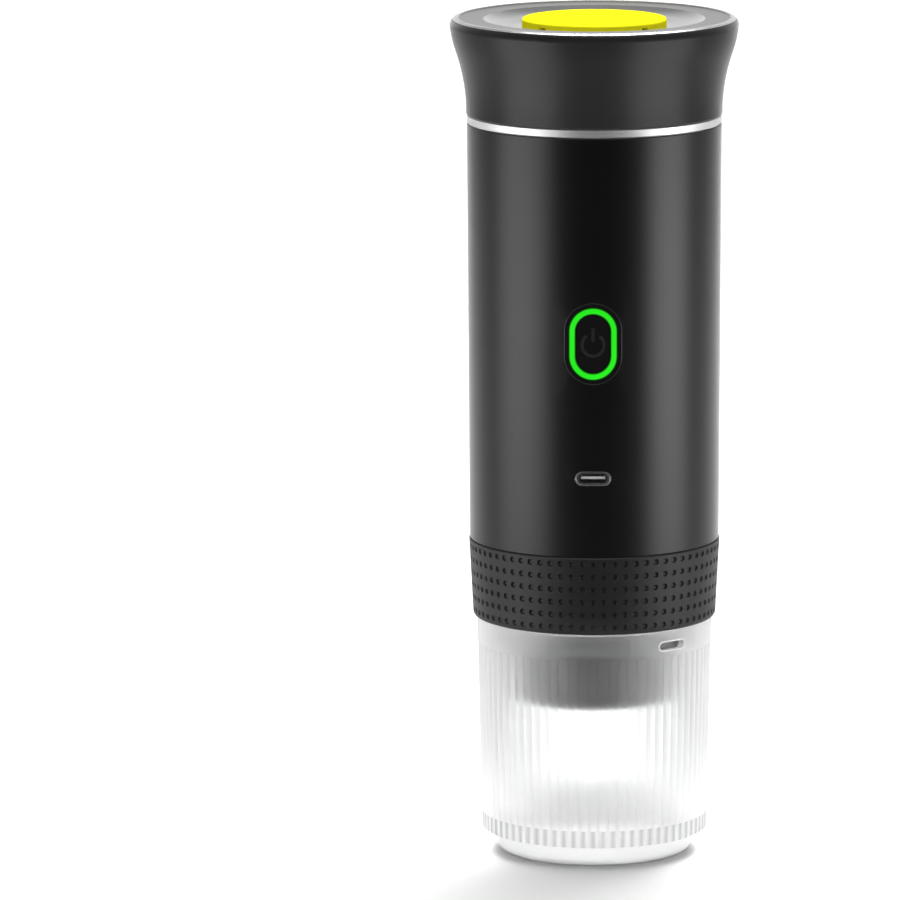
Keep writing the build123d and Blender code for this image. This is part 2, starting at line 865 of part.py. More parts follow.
def make_light_ring():
    """Clear ring that carries the lamps' light to the front."""
    front = -body_radius - overrun
    line = pill(light_width, light_height, front, bezel_y, button_z) & shell_skin(0)
    inner = light_width - 2 * light_line
    inner_height = light_height - 2 * light_line
    return line - pill(inner, inner_height, front - overrun, bezel_y + overrun, button_z)


def make_power_button():
    """Pad inside the light ring, with a flange behind it and a stem to the switch."""
    pad_back = bezel_y + slip
    pad = pill(pad_width, pad_height, -body_radius - overrun, pad_back, button_z)
    pad &= shell_skin(button_recess)
    flange_width = light_width - light_line
    flange_height = light_height - light_line
    flange = pill(flange_width, flange_height, pad_back, flange_y, button_z)
    return pad + flange + pin(button_stem_radius, flange_y, plunger_y, button_z)


def make_tact_switch():
    """Switch on the board, with a bore for its plunger."""
    body = on_board(switch_size, switch_size, switch_height, 0, button_z)
    front = board_y - switch_height - overrun
    back = board_y - switch_plunger_floor
    return body - pin(switch_plunger_radius + running, front, back, button_z)


def make_switch_plunger():
    """Plunger that the button's stem pushes into the switch."""
    back = board_y - switch_plunger_floor - button_travel - seat
    return pin(switch_plunger_radius, plunger_y, back, button_z)


def make_usb_c_socket():
    """Oval metal shell of the charging socket, closed at the board."""
    front = -(body_base_radius - socket_recess)
    shell = pill(socket_width, socket_height, front, board_y, socket_z)
    bore_width = socket_width - 2 * socket_wall
    bore_height = socket_height - 2 * socket_wall
    return shell - pill(bore_width, bore_height, front - overrun, board_y - socket_back, socket_z)


def make_usb_c_tongue():
    """Contact tongue in the middle of the socket."""
    front = -(body_base_radius - socket_recess - tongue_setback)
    back = board_y - socket_back
    middle = (0, (front + back) / 2, socket_z)
    return block(tongue_width, back - front, tongue_thickness, middle)


# Lid


def make_lid_shell():
    """Flared shell with a rounded lip and a seat for the top plate."""
    foot_radius = body_radius + lid_step
    wide_z = top_z - lid_lip_round
    flare_share, height_share = lid_turn_shares
    turn_radius = foot_radius + flare_share * lid_flare
    turn_z = lid_z + height_share * (wide_z - lid_z)
    lower = TangentArc(
        (foot_radius, 0, lid_z + edge), (turn_radius, 0, turn_z), tangent=(0, 0, 1)
    )
    upper = TangentArc(lower @ 1, (lid_rim_radius, 0, wide_z), tangent=lower % 1)
    lip_in = lid_rim_radius - lid_lip_width
    lip = TangentArc(upper @ 1, (lip_in + lid_lip_flat, 0, top_z), tangent=upper % 1)
    seat_z = plate_under_z + plate_thickness
    inside = Polyline(
        lip @ 1,
        (lip_in, 0, top_z),
        (lip_in, 0, seat_z),
        (plate_radius - plate_thickness, 0, seat_z),
        (turn_radius - lid_wall, 0, turn_z),
        (foot_radius - lid_wall, 0, lid_z),
        (foot_radius - edge, 0, lid_z),
        lower @ 0,
    )
    return revolve(make_face([lower, upper, lip, inside]), Axis.Z)


def make_lid_top_plate():
    """Dished plate set into the lip, with posts for the liner's screws."""
    low = plate_top_z - dish_depth
    slope = TangentArc(
        (dish_floor_radius, 0, low), (dish_radius, 0, plate_top_z), tangent=(1, 0, 0)
    )
    outline = [
        slope,
        Polyline(
            slope @ 1,
            (plate_radius, 0, plate_top_z),
            (plate_radius, 0, low),
            (plate_radius - plate_thickness, 0, low),
            (plate_radius - plate_thickness, 0, plate_under_z),
            (vent_stem_radius + seat, 0, plate_under_z),
            (vent_stem_radius + seat, 0, low),
            slope @ 0,
        ),
    ]
    plate = revolve(make_face(outline), Axis.Z)
    for place in around(lid_screw_angles, lid_post_circle):
        plate += disc(plate_post_radius, liner_top_z, plate_under_z, place)
        plate -= disc(screw_radius + seat, liner_top_z - overrun, liner_top_z + screw_length, place)
    return plate


def make_lid_liner():
    """Threaded plug under the lid, flanged to the posts, with a hole for the air valve."""
    liner = turned(
        (0, liner_z),
        (plug_radius, liner_z),
        (plug_radius, liner_flange_z),
        (liner_flange_radius, liner_flange_z),
        (liner_flange_radius, liner_top_z),
        (liner_bore, liner_top_z),
        (liner_bore, liner_z + liner_floor),
        (0, liner_z + liner_floor),
    )
    liner -= disc(valve_stem_radius + seat, liner_z - overrun, liner_z + liner_floor + overrun)
    for place in around(lid_screw_angles, lid_post_circle):
        head_top = liner_flange_z + screw_head_height
        liner -= disc(screw_head_radius + seat, liner_flange_z - overrun, head_top, place)
        liner -= disc(screw_radius + seat, liner_flange_z, liner_top_z + overrun, place)
    return liner


def make_lid_screws():
    """Hold the liner to the top plate's posts."""
    places = around(lid_screw_angles, lid_post_circle)
    return [Pos(*place, 0) * screw(liner_flange_z, screw_length) for place in places]


def make_lid_gasket():
    """Flat ring that seals the liner on the tank's rim."""
    return ring(plug_radius, plug_radius - lid_gasket_width, tank_top_z, liner_z)


def make_vent_valve():
    """Umbrella valve in the liner that lets air into the tank."""
    stem = disc(valve_stem_radius, liner_z, liner_z + liner_floor)
    under = disc(valve_radius, liner_z - valve_thickness, liner_z)
    head = disc(2 * valve_stem_radius, liner_z + liner_floor, liner_z + liner_floor + valve_thickness)
    return stem + under + head


def make_vent_plug():
    """Low round cap in the dish, with air notches under its edge and a stem through the plate."""
    high = plate_top_z + vent_cap_stand
    edge_z = high - vent_cap_crown
    side = Line((vent_cap_radius, 0, dish_floor_z), (vent_cap_radius, 0, edge_z - vent_cap_round))
    corner = (vent_cap_radius - vent_cap_round, 0, edge_z)
    rounded = TangentArc(side @ 1, corner, tangent=side % 1)
    crown = TangentArc((0, 0, high), corner, tangent=(1, 0, 0))
    close = Polyline((0, 0, high), (0, 0, dish_floor_z), side @ 0)
    cap = revolve(make_face([side, rounded, crown, close]), Axis.Z)
    cap += disc(vent_stem_radius, plate_under_z - vent_stem_reach, dish_floor_z)
    notch_middle = vent_cap_radius - vent_notch_depth / 2 + overrun / 2
    for angle in vent_notch_angles:
        notch = block(
            vent_notch_depth + overrun,
            vent_notch_width,
            2 * vent_notch_height,
            (notch_middle, 0, dish_floor_z),
        )
        cap -= Rot(0, 0, angle) * notch
    return cap


PIECES = {
    "cup": make_cup,
    "head_collar": make_head_collar,
    "grip_sleeve": make_grip_sleeve,
    "cup_seal_ring": make_cup_seal_ring,
    "brew_chamber": make_brew_chamber,
    "filter_basket": make_filter_basket,
    "group_gasket": make_group_gasket,
    "base_plate": make_base_plate,
    "shower_screen": make_shower_screen,
    "screen_screw": make_screen_screw,
    "base_screws": make_base_screws,
    "body_shell": make_body_shell,
    "trim_ring": make_trim_ring,
    "tank_neck": make_tank_neck,
    "water_tank": make_water_tank,
    "heater_plate": make_heater_plate,
    "temperature_probe": make_temperature_probe,
    "tank_fitting": make_tank_fitting,
    "battery_cells": make_battery_cells,
    "cell_contacts": make_cell_contacts,
    "battery_cradle": make_battery_cradle,
    "cell_cap": make_cell_cap,
    "cradle_screws": make_cradle_screws,
    "drive_gear": make_drive_gear,
    "idler_gear": make_idler_gear,
    "pump_motor": make_pump_motor,
    "pump_housing": make_pump_housing,
    "pump_cover": make_pump_cover,
    "inlet_hose": make_inlet_hose,
    "outlet_hose": make_outlet_hose,
    "control_board": make_control_board,
    "board_components": make_board_components,
    "button_bezel": make_button_bezel,
    "light_ring": make_light_ring,
    "power_button": make_power_button,
    "tact_switch": make_tact_switch,
    "switch_plunger": make_switch_plunger,
    "usb_c_socket": make_usb_c_socket,
    "usb_c_tongue": make_usb_c_tongue,
    "lid_shell": make_lid_shell,
    "lid_top_plate": make_lid_top_plate,
    "lid_liner": make_lid_liner,
    "lid_screws": make_lid_screws,
    "lid_gasket": make_lid_gasket,
    "vent_valve": make_vent_valve,
    "vent_plug": make_vent_plug,
}


def main():
    """Writes one file per piece; a piece made of several solids is written as a group."""
    os.makedirs("parts", exist_ok=True)
    for name, make in PIECES.items():
        made = make()
        if isinstance(made, list):
            made = Compound(children=[solid for item in made for solid in item.solids()])
        export_step(made, f"parts/{name}.step")


main()
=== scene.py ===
"""Looks of the portable espresso maker: finishes, dimples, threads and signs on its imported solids."""
import json
import math

import bmesh
import bpy
from mathutils import Euler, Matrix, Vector


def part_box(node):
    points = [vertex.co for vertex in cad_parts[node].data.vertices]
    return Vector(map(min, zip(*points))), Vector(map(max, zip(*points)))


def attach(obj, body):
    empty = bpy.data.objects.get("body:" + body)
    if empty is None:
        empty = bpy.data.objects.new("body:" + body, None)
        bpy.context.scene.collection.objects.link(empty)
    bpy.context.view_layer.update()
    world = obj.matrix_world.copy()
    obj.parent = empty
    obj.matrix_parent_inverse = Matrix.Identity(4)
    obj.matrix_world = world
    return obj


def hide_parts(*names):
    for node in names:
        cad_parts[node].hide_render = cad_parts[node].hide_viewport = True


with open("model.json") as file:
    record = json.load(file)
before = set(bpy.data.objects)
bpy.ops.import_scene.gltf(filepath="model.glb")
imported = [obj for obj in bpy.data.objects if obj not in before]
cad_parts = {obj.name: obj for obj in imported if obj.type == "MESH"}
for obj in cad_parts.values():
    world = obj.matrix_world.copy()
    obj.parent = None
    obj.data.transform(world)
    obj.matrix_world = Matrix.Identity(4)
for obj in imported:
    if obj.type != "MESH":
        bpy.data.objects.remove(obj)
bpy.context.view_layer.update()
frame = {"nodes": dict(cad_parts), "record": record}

scene = bpy.context.scene

# Camera and floor, in metres and degrees
camera_place = (0.0229, -2.31577, 0.52234)
camera_turns = (80.025, -0.174, 1.581)  # tip, roll and yaw
camera_lens = 330.914  # millimetres, on a 36 mm sensor
sensor_width = 36.0
floor_half = 2.7
floor_drop = 0.00005

# The floor as the object mirrors it: bright from mirror_back on, and dark from mirror_side outwards
mirror_back = 0.62
mirror_side = 1.52
mirror_fade = 1.14
mirror_dark = 0.015
floor_roughness = 0.7

# Sizes of the solids that the pieces below follow, in metres
shell_low_radius = 0.0354
shell_high_radius = 0.0360
pad_recess = 0.00025
grip_foot_radius = 0.03445
grip_high_radius = 0.0356
grip_bore = 0.0333
grip_round = 0.0008
grip_edge = 0.0003

# Cup: how milky its plastic looks, and where; also a painted highlight along its rim and painted shade
# in the ribs over its foot
cup_ior = 1.25
cup_roughness = 0.34
cup_roughness_spread = 0.08
milk_roughness = 0.4
milk_thin_share = 0.035
milk_haze_share = 0.04
milk_edge_share = 0.70
milk_edge_gain = 0.95
milk_edge_power = 0.6
milk_edge_blend = 0.5
milk_rib_share = 0.2
milk_thick_and_rim_share = 0.75
cup_floor_rib_share = 0.1
cup_foot_top = 0.0063
cup_floor_top = 0.0104
cup_floor_blend = 0.0145
cup_floor_blend_fade = 0.0035
# Grey stripes painted as shade along the ribs, from the foot up to the next height, and how grey they
# are
flute_shade_top = 0.0113
flute_shade_share = 0.85
cup_floor_radius = 0.0298
# From this height up, the rim is painted milky white as a highlight of its rolled edge
cup_rim_line = 0.0675
cup_rib_count = 72
milk_fade = 0.0004
rim_fade = 0.0001

# Vent slot in the cup's band, with a bead painted white along its edge as a highlight
cup_rim_radius = 0.0334
cup_taper = 0.0013
vent_size = (0.0095, 0.0027)
vent_drop = 0.0046
vent_angle = 42.0
vent_bead = 0.00028

# Lid: polished edge of its lip, and the dish in its plate
lid_roughness = 0.33
lid_roughness_spread = 0.08
lip_polish_low = 0.2386
lip_polish_fade = 0.0002
lip_gloss_gain = 0.15
plate_roughness = 0.3
plate_line_gloss = 0.06
dish_radius = 0.0314
dish_fade = 0.0002
dish_gloss_gain = 0.1
dish_metal_share = 0.9

# Dimples in the grip
dimple_columns = 72
dimple_rows = 6
dimple_first_z = 0.0884
dimple_pitch = 0.00366
dimple_radius = 0.00080
dimple_depth = 0.00060
dimple_corners = 12
dimple_ring_shares = ((1.1, 0.0), (0.94, 0.3), (0.6, 0.85))  # of radius and depth, from the lip in
grip_round_steps = 4
merge_distance = 0.000002

# Angles from which an edge between two faces shows as a crease, in degrees
grip_crease = 28.0
edge_crease = 30.0
bead_crease = 60.0

# Screws, with a six-sided key hole
screw_head_radius = 0.0018
screw_head_height = 0.0011
screw_radius = 0.0009
screw_length = 0.0070
screw_tip = 0.0006
screw_key_radius = 0.00085
screw_key_depth = 0.0007
screw_key_sides = 6
screw_corners = 2 * screw_key_sides
screw_turn_seed = 7
post_circle = 0.0310
post_angles = (30, 150, 228, 312)
lid_post_circle = 0.0305
lid_post_angles = (30, 150, 270)

# Screw threads of the brew head and of the lid
head_lead = 0.024
head_starts = 3
head_turn = 45.0
head_ridge_low = 0.0844
head_ridge_width = 0.0014
head_ridge_step = 0.0017  # from a ridge of the body up to the ridge of the collar that holds it
spigot_radius = 0.0280
collar_bore = 0.0293
lid_lead = 0.012
lid_starts = 2
lid_turn = 180.0
lid_ridge_low = 0.2024
lid_ridge_width = 0.0016
lid_ridge_step = 0.0019
plug_radius = 0.0283
neck_bore = 0.0296
ridge_height = 0.0010
ridge_sink = 0.0002
ridge_top_share = 0.4
ridge_end_share = 0.05  # of the ridge's section, at its two ends
ridge_taper = 9.0
ridge_steps = 40

# Contacts on both faces of the socket's tongue
contact_count = 12
contact_pitch = 0.0005
contact_size = (0.00026, 0.0024, 0.00005)
contact_edge = 0.00001
contact_setback = 0.0003

# Thin line round the button's frame, beads in general, and the sloped frame of the charging socket
bezel_size = (0.0160, 0.0229)
bezel_line = 0.00014
bead_sink = 0.00005
bead_sides = 8
outline_corner_steps = 16
outline_round_share = 0.4999  # of the smaller side, just short of a half
socket_frame_outer = (0.0102, 0.0040)
socket_frame_inner = (0.0091, 0.0034)
socket_frame_front = -0.03475
socket_frame_depth = 0.0005
socket_frame_steps = 12

# Lit ring round the button, and the power sign on it
ring_line = 0.0017
# The next value is the width over which the lit line darkens to painted shade at its edges
ring_edge = 0.0003
ring_roughness = 0.25
sign_radius = 0.0031
sign_line = 0.0009
sign_gap_angle = 34.0
sign_bar_low = 0.0010
sign_bar_high = 0.0048
sign_steps = 40
sign_stand = 0.00003
sign_drop = 0.0003
sign_depth = 0.00006

# Patterns in the finishes: their waves per metre, their detail, and the depths of the grain
cloud_waves = 60.0
metal_cloud_waves = 45.0
haze_waves = 90.0
glow_waves = 120.0
floor_waves = 3.0
paint_waves = 3000.0
plate_line_waves = 5000.0
coarse_detail = 3.0
fine_detail = 2.0
glow_detail = 1.0
shallow_grain = 0.000005
fine_grain = 0.00001
soft_grain = 0.00002
deep_grain = 0.00003

# How the patterns share in tone and roughness, and how strong they are as bumps
cloud_tone_share = 0.7
cloud_gloss_share = 0.5
line_tone_share = 0.6
line_gloss_share = 0.7
gloss_spread = 0.1
grain_strength = 0.35
line_strength = 0.3
plate_line_strength = 0.15


class Wire:
    """A socket of a node tree. Sums of wires and numbers add Math nodes to the tree."""

    def __init__(self, tree, socket):
        self.tree = tree
        self.socket = socket

    def math(self, operation, first, second):
        return self.tree.node("ShaderNodeMath", {"operation": operation}, {0: first, 1: second})

    def __add__(self, other):
        return self.math("ADD", self, other)

    def __sub__(self, other):
        return self.math("SUBTRACT", self, other)

    def __rsub__(self, other):
        return self.math("SUBTRACT", other, self)

    def __mul__(self, other):
        return self.math("MULTIPLY", self, other)

    def __truediv__(self, other):
        return self.math("DIVIDE", self, other)

    def __pow__(self, other):
        return self.math("POWER", self, other)

    def raised(self):
        """A value from -1 to 1 as a share from 0 to 1."""
        return self * 0.5 + 0.5

    def absolute(self):
        return self.math("ABSOLUTE", self, 0.0)

    def least(self, other):
        return self.math("MINIMUM", self, other)

    def most(self, other):
        return self.math("MAXIMUM", self, other)

    def within(self, edge, fade):
        """1 well below an edge, 0 above it."""
        return ((edge - self) / fade).most(0.0).least(1.0)

    def eased(self):
        """A share from 0 to 1 with soft ends."""
        return self * self * (3.0 - self * 2.0)

    def cosine(self):
        return self.math("COSINE", self, 0.0)

    def sine(self):
        return self.math("SINE", self, 0.0)

    def turn_from(self, other):
        """Angle of a point from its two coordinates."""
        return self.math("ARCTAN2", self, other)

    __radd__ = __add__


class Tree:
    """A node tree, for a material, the world or a geometry modifier."""

    def __init__(self, nodes):
        self.nodes = nodes

    def node(self, kind, settings=None, values=None, out=0):
        """Adds a node, with its settings first and then the values or wires of its sockets."""
        made = self.nodes.nodes.new(kind)
        for name, value in (settings or {}).items():
            if name == "stops":
                self.set_stops(made.color_ramp, value)
            else:
                setattr(made, name, value)
        for socket, value in (values or {}).items():
            self.feed(made.inputs[socket], value)
        return Wire(self, made.outputs[out])

    def vector(self, across=0.0, along=0.0, up=0.0):
        """A vector from its three parts."""
        return self.node("ShaderNodeCombineXYZ", values={0: across, 1: along, 2: up})

    def split(self, vector):
        """Three wires for the parts of a vector."""
        parts = self.node("ShaderNodeSeparateXYZ", values={0: vector})
        return [Wire(self, socket) for socket in parts.socket.node.outputs]

    def feed(self, socket, value):
        if isinstance(value, Wire):
            self.nodes.links.new(value.socket, socket)
        else:
            socket.default_value = value

    def blend(self, share, first, second):
        """Colour between two colours."""
        values = {0: share, 6: first, 7: second}
        return self.node("ShaderNodeMix", {"data_type": "RGBA"}, values, out=2)

    @staticmethod
    def set_stops(ramp, stops):
        while len(ramp.elements) < len(stops):
            ramp.elements.new(0.5)
        for element, (place, colour) in zip(ramp.elements, stops):
            element.position = place
            element.color = colour


class Finish(Tree):
    """A material: constant values on its shader, and wires for what varies over the surface."""

    def __init__(self, name, **constants):
        self.material = bpy.data.materials.new(name)
        self.material.use_nodes = True
        super().__init__(self.material.node_tree)
        self.shader = self.nodes.nodes["Principled BSDF"]
        self.object_place = self.node("ShaderNodeTexCoord", out="Object")
        for socket, value in constants.items():
            self.shader.inputs[socket.replace("_", " ")].default_value = value

    def set(self, **varying):
        """Feeds shader sockets, named with _ for a space."""
        for socket, value in varying.items():
            self.feed(self.shader.inputs[socket.replace("_", " ")], value)
        return self

    def noise(self, waves, detail=coarse_detail, place=None):
        """Noise from 0 to 1 over the object's own place, or over another one."""
        values = {"Vector": place or self.object_place, "Scale": waves, "Detail": detail}
        return self.node("ShaderNodeTexNoise", values=values, out="Fac")

    def round_place(self):
        """Distance from the axis, and height above the floor."""
        across, along, height = self.split(self.object_place)
        return (across * across + along * along) ** 0.5, height

    def turned_place(self):
        """Distance from the axis, height and nothing else: patterns on it run round the axis."""
        radius, height = self.round_place()
        return self.vector(radius, 0.0, height)

    def mix_in(self, share, **sockets):
        """Mixes a second shader into the first by a share that may vary."""
        second = self.node("ShaderNodeBsdfPrincipled")
        for socket, value in sockets.items():
            self.feed(second.socket.node.inputs[socket.replace("_", " ")], value)
        values = {0: share, 1: Wire(self, self.shader.outputs[0]), 2: second}
        mixed = self.node("ShaderNodeMixShader", values=values)
        self.feed(self.nodes.nodes["Material Output"].inputs["Surface"], mixed)
        return self

    def bump(self, height, strength, distance):
        """Normal from a height."""
        values = {"Height": height, "Strength": strength, "Distance": distance}
        return self.node("ShaderNodeBump", values=values)


def grey(level):
    return (level, level, level, 1.0)


# Finishes


def between(first, second, share):
    """Two patterns in one, with a share of the first."""
    return first * share + second * (1 - share)


def waved(wave, share):
    """1 where a wave from -1 to 1 is high, and less by twice a share where it is low."""
    return 1.0 - share + wave * share


def mottled(name, dark, light, roughness, grain, depth, spread=gloss_spread, **constants):
    """A finish with a fine grain: colour between two tones, and roughness that varies a little."""
    finish = Finish(name, **constants)
    cloud = finish.noise(cloud_waves)
    fine = finish.noise(grain, fine_detail)
    colour = finish.blend(between(cloud, fine, cloud_tone_share), dark, light)
    rough = roughness - spread / 2 + between(cloud, fine, cloud_gloss_share) * spread
    normal = finish.bump(fine, grain_strength, depth)
    return finish.set(Base_Color=colour, Roughness=rough, Normal=normal).material


def brushed_round(name, dark, light, roughness, lines, spread=gloss_spread):
    """Metal turned on a lathe: fine lines round the axis."""
    finish = Finish(name, Metallic=1.0)
    line = finish.noise(lines, place=finish.turned_place())
    cloud = finish.noise(metal_cloud_waves)
    colour = finish.blend(between(line, cloud, line_tone_share), dark, light)
    rough = roughness - spread / 2 + between(line, cloud, line_gloss_share) * spread
    normal = finish.bump(line, line_strength, fine_grain)
    return finish.set(Base_Color=colour, Roughness=rough, Normal=normal).material


def clear_cup():
    """Frosted clear plastic, milky in the foot, the floor and towards its sides, painted milky white
    along the rim as a highlight, and with grey stripes painted as shade in the ribs over the foot.
    """
    finish = Finish("clear_cup", Transmission_Weight=1.0, IOR=cup_ior)
    haze = finish.noise(haze_waves)
    colour = finish.blend(haze, (0.97, 0.98, 0.98, 1.0), grey(1.0))
    finish.set(Base_Color=colour, Roughness=cup_roughness + haze * cup_roughness_spread)
    across, along, height = finish.split(finish.object_place)
    radius = (across * across + along * along) ** 0.5
    ribs = (along.turn_from(across) * cup_rib_count).cosine()
    inner = radius.within(cup_floor_radius, milk_fade)
    wall = height.within(cup_floor_blend, cup_floor_blend_fade) * waved(ribs, cup_floor_rib_share)
    floor = wall.most(height.within(cup_floor_top, milk_fade) * inner)
    # The rim's milky white band is a painted highlight of its rolled edge
    rim_highlight = 1.0 - height.within(cup_rim_line, rim_fade)
    foot = height.within(cup_foot_top, milk_fade)
    thick_and_rim_highlight = floor.most(foot).most(rim_highlight)
    outwards = finish.vector(across / radius, along / radius)
    values = {"Blend": milk_edge_blend, "Normal": outwards}
    edge_on = finish.node("ShaderNodeLayerWeight", values=values, out="Facing")
    wall_milk = (edge_on ** milk_edge_power * milk_edge_gain).least(milk_edge_share)
    share = milk_thin_share + thick_and_rim_highlight * (milk_thick_and_rim_share - milk_thin_share) + haze * milk_haze_share
    share = share.most(wall_milk * waved(ribs, milk_rib_share))
    # Grey stripes along the ribs over the foot are painted shade, for the thick floor seen darker
    # through the ribs
    flute_shade = height.within(flute_shade_top, milk_fade) * (1.0 - foot) * ribs.raised()
    milk_and_flute_shade = finish.blend(flute_shade * flute_shade_share, grey(0.93), grey(0.40))
    return finish.mix_in(share, Base_Color=milk_and_flute_shade, Roughness=milk_roughness).material


def black_lid():
    """Matte black with a polished edge on the lip."""
    constants = {"Specular_IOR_Level": 0.10, "Sheen_Weight": 0.5, "Sheen_Roughness": 0.3}
    finish = Finish("matte_black", **constants)
    cloud = finish.noise(cloud_waves)
    fine = finish.noise(paint_waves, fine_detail)
    height = finish.split(finish.object_place)[2]
    polish = 1.0 - height.within(lip_polish_low, lip_polish_fade)
    black = finish.blend(between(cloud, fine, cloud_tone_share), grey(0.011), grey(0.015))
    rough = lid_roughness + between(cloud, fine, cloud_gloss_share) * lid_roughness_spread
    return finish.set(
        Base_Color=finish.blend(polish, black, grey(0.85)),
        Roughness=rough - polish * lip_gloss_gain,
        Metallic=polish,
        Normal=finish.bump(fine, grain_strength, fine_grain),
    ).material


def turned_plate():
    """Grey plate with fine turning lines, and a brighter dish."""
    finish = Finish("turned_plate", Specular_IOR_Level=0.2)
    line = finish.noise(plate_line_waves, place=finish.turned_place())
    cloud = finish.noise(metal_cloud_waves)
    radius, _ = finish.round_place()
    dish = radius.within(dish_radius, dish_fade)
    land = finish.blend(between(line, cloud, line_tone_share), grey(0.36), grey(0.42))
    bowl = finish.blend(cloud, grey(0.90), grey(0.95))
    return finish.set(
        Base_Color=finish.blend(dish, land, bowl),
        Roughness=plate_roughness - dish * dish_gloss_gain + line * plate_line_gloss,
        Metallic=dish * dish_metal_share,
        Normal=finish.bump(line * (1.0 - dish), plate_line_strength, shallow_grain),
    ).material


def lit_ring():
    """Green light guide, brightest along the middle of its line, with painted shade darkening its edges
    where the frame would shade it.
    """
    low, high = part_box("light_ring")
    half_width = (high.x - low.x) / 2
    straight = (high.z - low.z) / 2 - half_width
    constants = {"Base_Color": (0.004, 0.05, 0.004, 1.0), "Specular_IOR_Level": 0.2}
    finish = Finish("lit_ring", Emission_Strength=1.0, **constants)
    across, _, height = finish.split(finish.object_place)
    rise = ((height - (low.z + high.z) / 2).absolute() - straight).most(0.0)
    reach = (across * across + rise * rise) ** 0.5
    off_middle = (reach - (half_width - ring_line / 2)).absolute()
    glow = finish.noise(glow_waves, glow_detail)
    lit = finish.blend(glow, (0.016, 0.74, 0.010, 1.0), (0.026, 0.92, 0.017, 1.0))
    # Dark green at both edges of the line is painted shade from the frame round the light guide
    colour = finish.blend(off_middle.within(ring_line / 2, ring_edge), (0.002, 0.10, 0.002, 1.0), lit)
    return finish.set(Emission_Color=colour, Roughness=ring_roughness + glow * gloss_spread).material


# By material slot: name, darker and lighter tone, roughness, waves of the grain or of the turned lines
# per metre, and for a grain its depth
FINISHES = {
    "clear_plastic": clear_cup(),
    "black_anodised": mottled(
        "satin_black",
        grey(0.001),
        grey(0.002),
        0.36,
        paint_waves,
        fine_grain,
        spread=0.06,
        Specular_IOR_Level=0.38,
        Sheen_Weight=0.45,
        Sheen_Roughness=0.3,
    ),
    "bright_trim": brushed_round("bright_ring", grey(0.78), grey(0.88), 0.5, 9000.0, spread=0.12),
    "grey_plate": turned_plate(),
    "yellow_silicone": mottled(
        "yellow_cap",
        (0.80, 0.74, 0.010, 1.0),
        (0.88, 0.82, 0.014, 1.0),
        0.6,
        2500.0,
        fine_grain,
        Specular_IOR_Level=0.0,
    ),
    "dark_silicone": mottled(
        "dark_grip",
        grey(0.008),
        grey(0.013),
        0.50,
        2600.0,
        deep_grain,
        spread=0.12,
        Specular_IOR_Level=0.42,
    ),
    "white_silicone": mottled("pale_silicone", grey(0.62), grey(0.72), 0.5, 1800.0, soft_grain),
    "dark_plastic": mottled(
        "moulded_dark", grey(0.035), grey(0.05), 0.5, 1800.0, soft_grain, spread=0.12
    ),
    "black_gloss": mottled(
        "gloss_black", grey(0.006), grey(0.010), 0.22, 1500.0, shallow_grain, spread=0.06
    ),
    "light_guide": lit_ring(),
    "white_plastic": mottled("natural_plastic", grey(0.60), grey(0.70), 0.45, 1600.0, soft_grain),
    "stainless": brushed_round("stainless", grey(0.50), grey(0.62), 0.28, 6000.0),
    "zinc_screw": mottled(
        "zinc_plate", grey(0.42), grey(0.55), 0.32, 2500.0, fine_grain, Metallic=1.0
    ),
    "nickel": mottled(
        "nickel_plate",
        (0.62, 0.58, 0.52, 1.0),
        (0.74, 0.70, 0.63, 1.0),
        0.24,
        2500.0,
        fine_grain,
        Metallic=1.0,
    ),
    "cell_wrap": mottled(
        "shrink_sleeve", (0.02, 0.10, 0.20, 1.0), (0.03, 0.14, 0.27, 1.0), 0.3, 900.0, soft_grain
    ),
    "board": mottled(
        "solder_mask", (0.01, 0.11, 0.04, 1.0), (0.015, 0.15, 0.06, 1.0), 0.4, 1200.0, soft_grain
    ),
    "component_black": mottled("moulded_package", grey(0.015), grey(0.025), 0.5, 2500.0, fine_grain),
    "motor_can": brushed_round("plated_can", grey(0.40), grey(0.52), 0.34, 5000.0),
    "gear_plastic": mottled(
        "acetal", (0.66, 0.62, 0.52, 1.0), (0.74, 0.70, 0.60, 1.0), 0.4, 1500.0, fine_grain
    ),
}

# Solids whose finish isn't that of their slot
NODE_FINISHES = {
    "lid_shell": black_lid(),
    "head_collar": mottled("grey_collar", grey(0.16), grey(0.20), 0.45, 1800.0, soft_grain),
    "cup_seal_ring": mottled("grey_seal", grey(0.14), grey(0.18), 0.5, 1800.0, soft_grain),
    "brew_chamber": mottled("grey_chamber", grey(0.03), grey(0.05), 0.4, 1800.0, soft_grain),
    "usb_c_tongue": mottled("pale_tongue", grey(0.78), grey(0.86), 0.4, 2500.0, fine_grain),
}


# Making pieces


def ring_faces(start, rings, corners, closed=False):
    """Faces between rings of points that follow each other, and back to the first if closed."""
    faces = []
    for ring in range(rings if closed else rings - 1):
        first = start + ring * corners
        second = start + (ring + 1) % rings * corners
        for corner in range(corners):
            follow = (corner + 1) % corners
            faces.append((first + corner, first + follow, second + follow, second + corner))
    return faces


def piece_from(name, points, faces):
    """Mesh object from points and faces."""
    mesh = bpy.data.meshes.new(name)
    mesh.from_pydata([tuple(point) for point in points], [], faces)
    piece = bpy.data.objects.new(name, mesh)
    scene.collection.objects.link(piece)
    return piece


def smooth(piece, crease_angle):
    """Smooth shading with creases where faces meet at more than an angle."""
    mesh = piece.data
    mesh.polygons.foreach_set("use_smooth", [True] * len(mesh.polygons))
    mesh.set_sharp_from_angle(angle=math.radians(crease_angle))
    return piece


def outward(piece):
    """Merges doubles and turns all faces outwards."""
    shape = bmesh.new()
    shape.from_mesh(piece.data)
    bmesh.ops.remove_doubles(shape, verts=shape.verts, dist=merge_distance)
    bmesh.ops.recalc_face_normals(shape, faces=shape.faces)
    shape.to_mesh(piece.data)
    shape.free()
    return piece


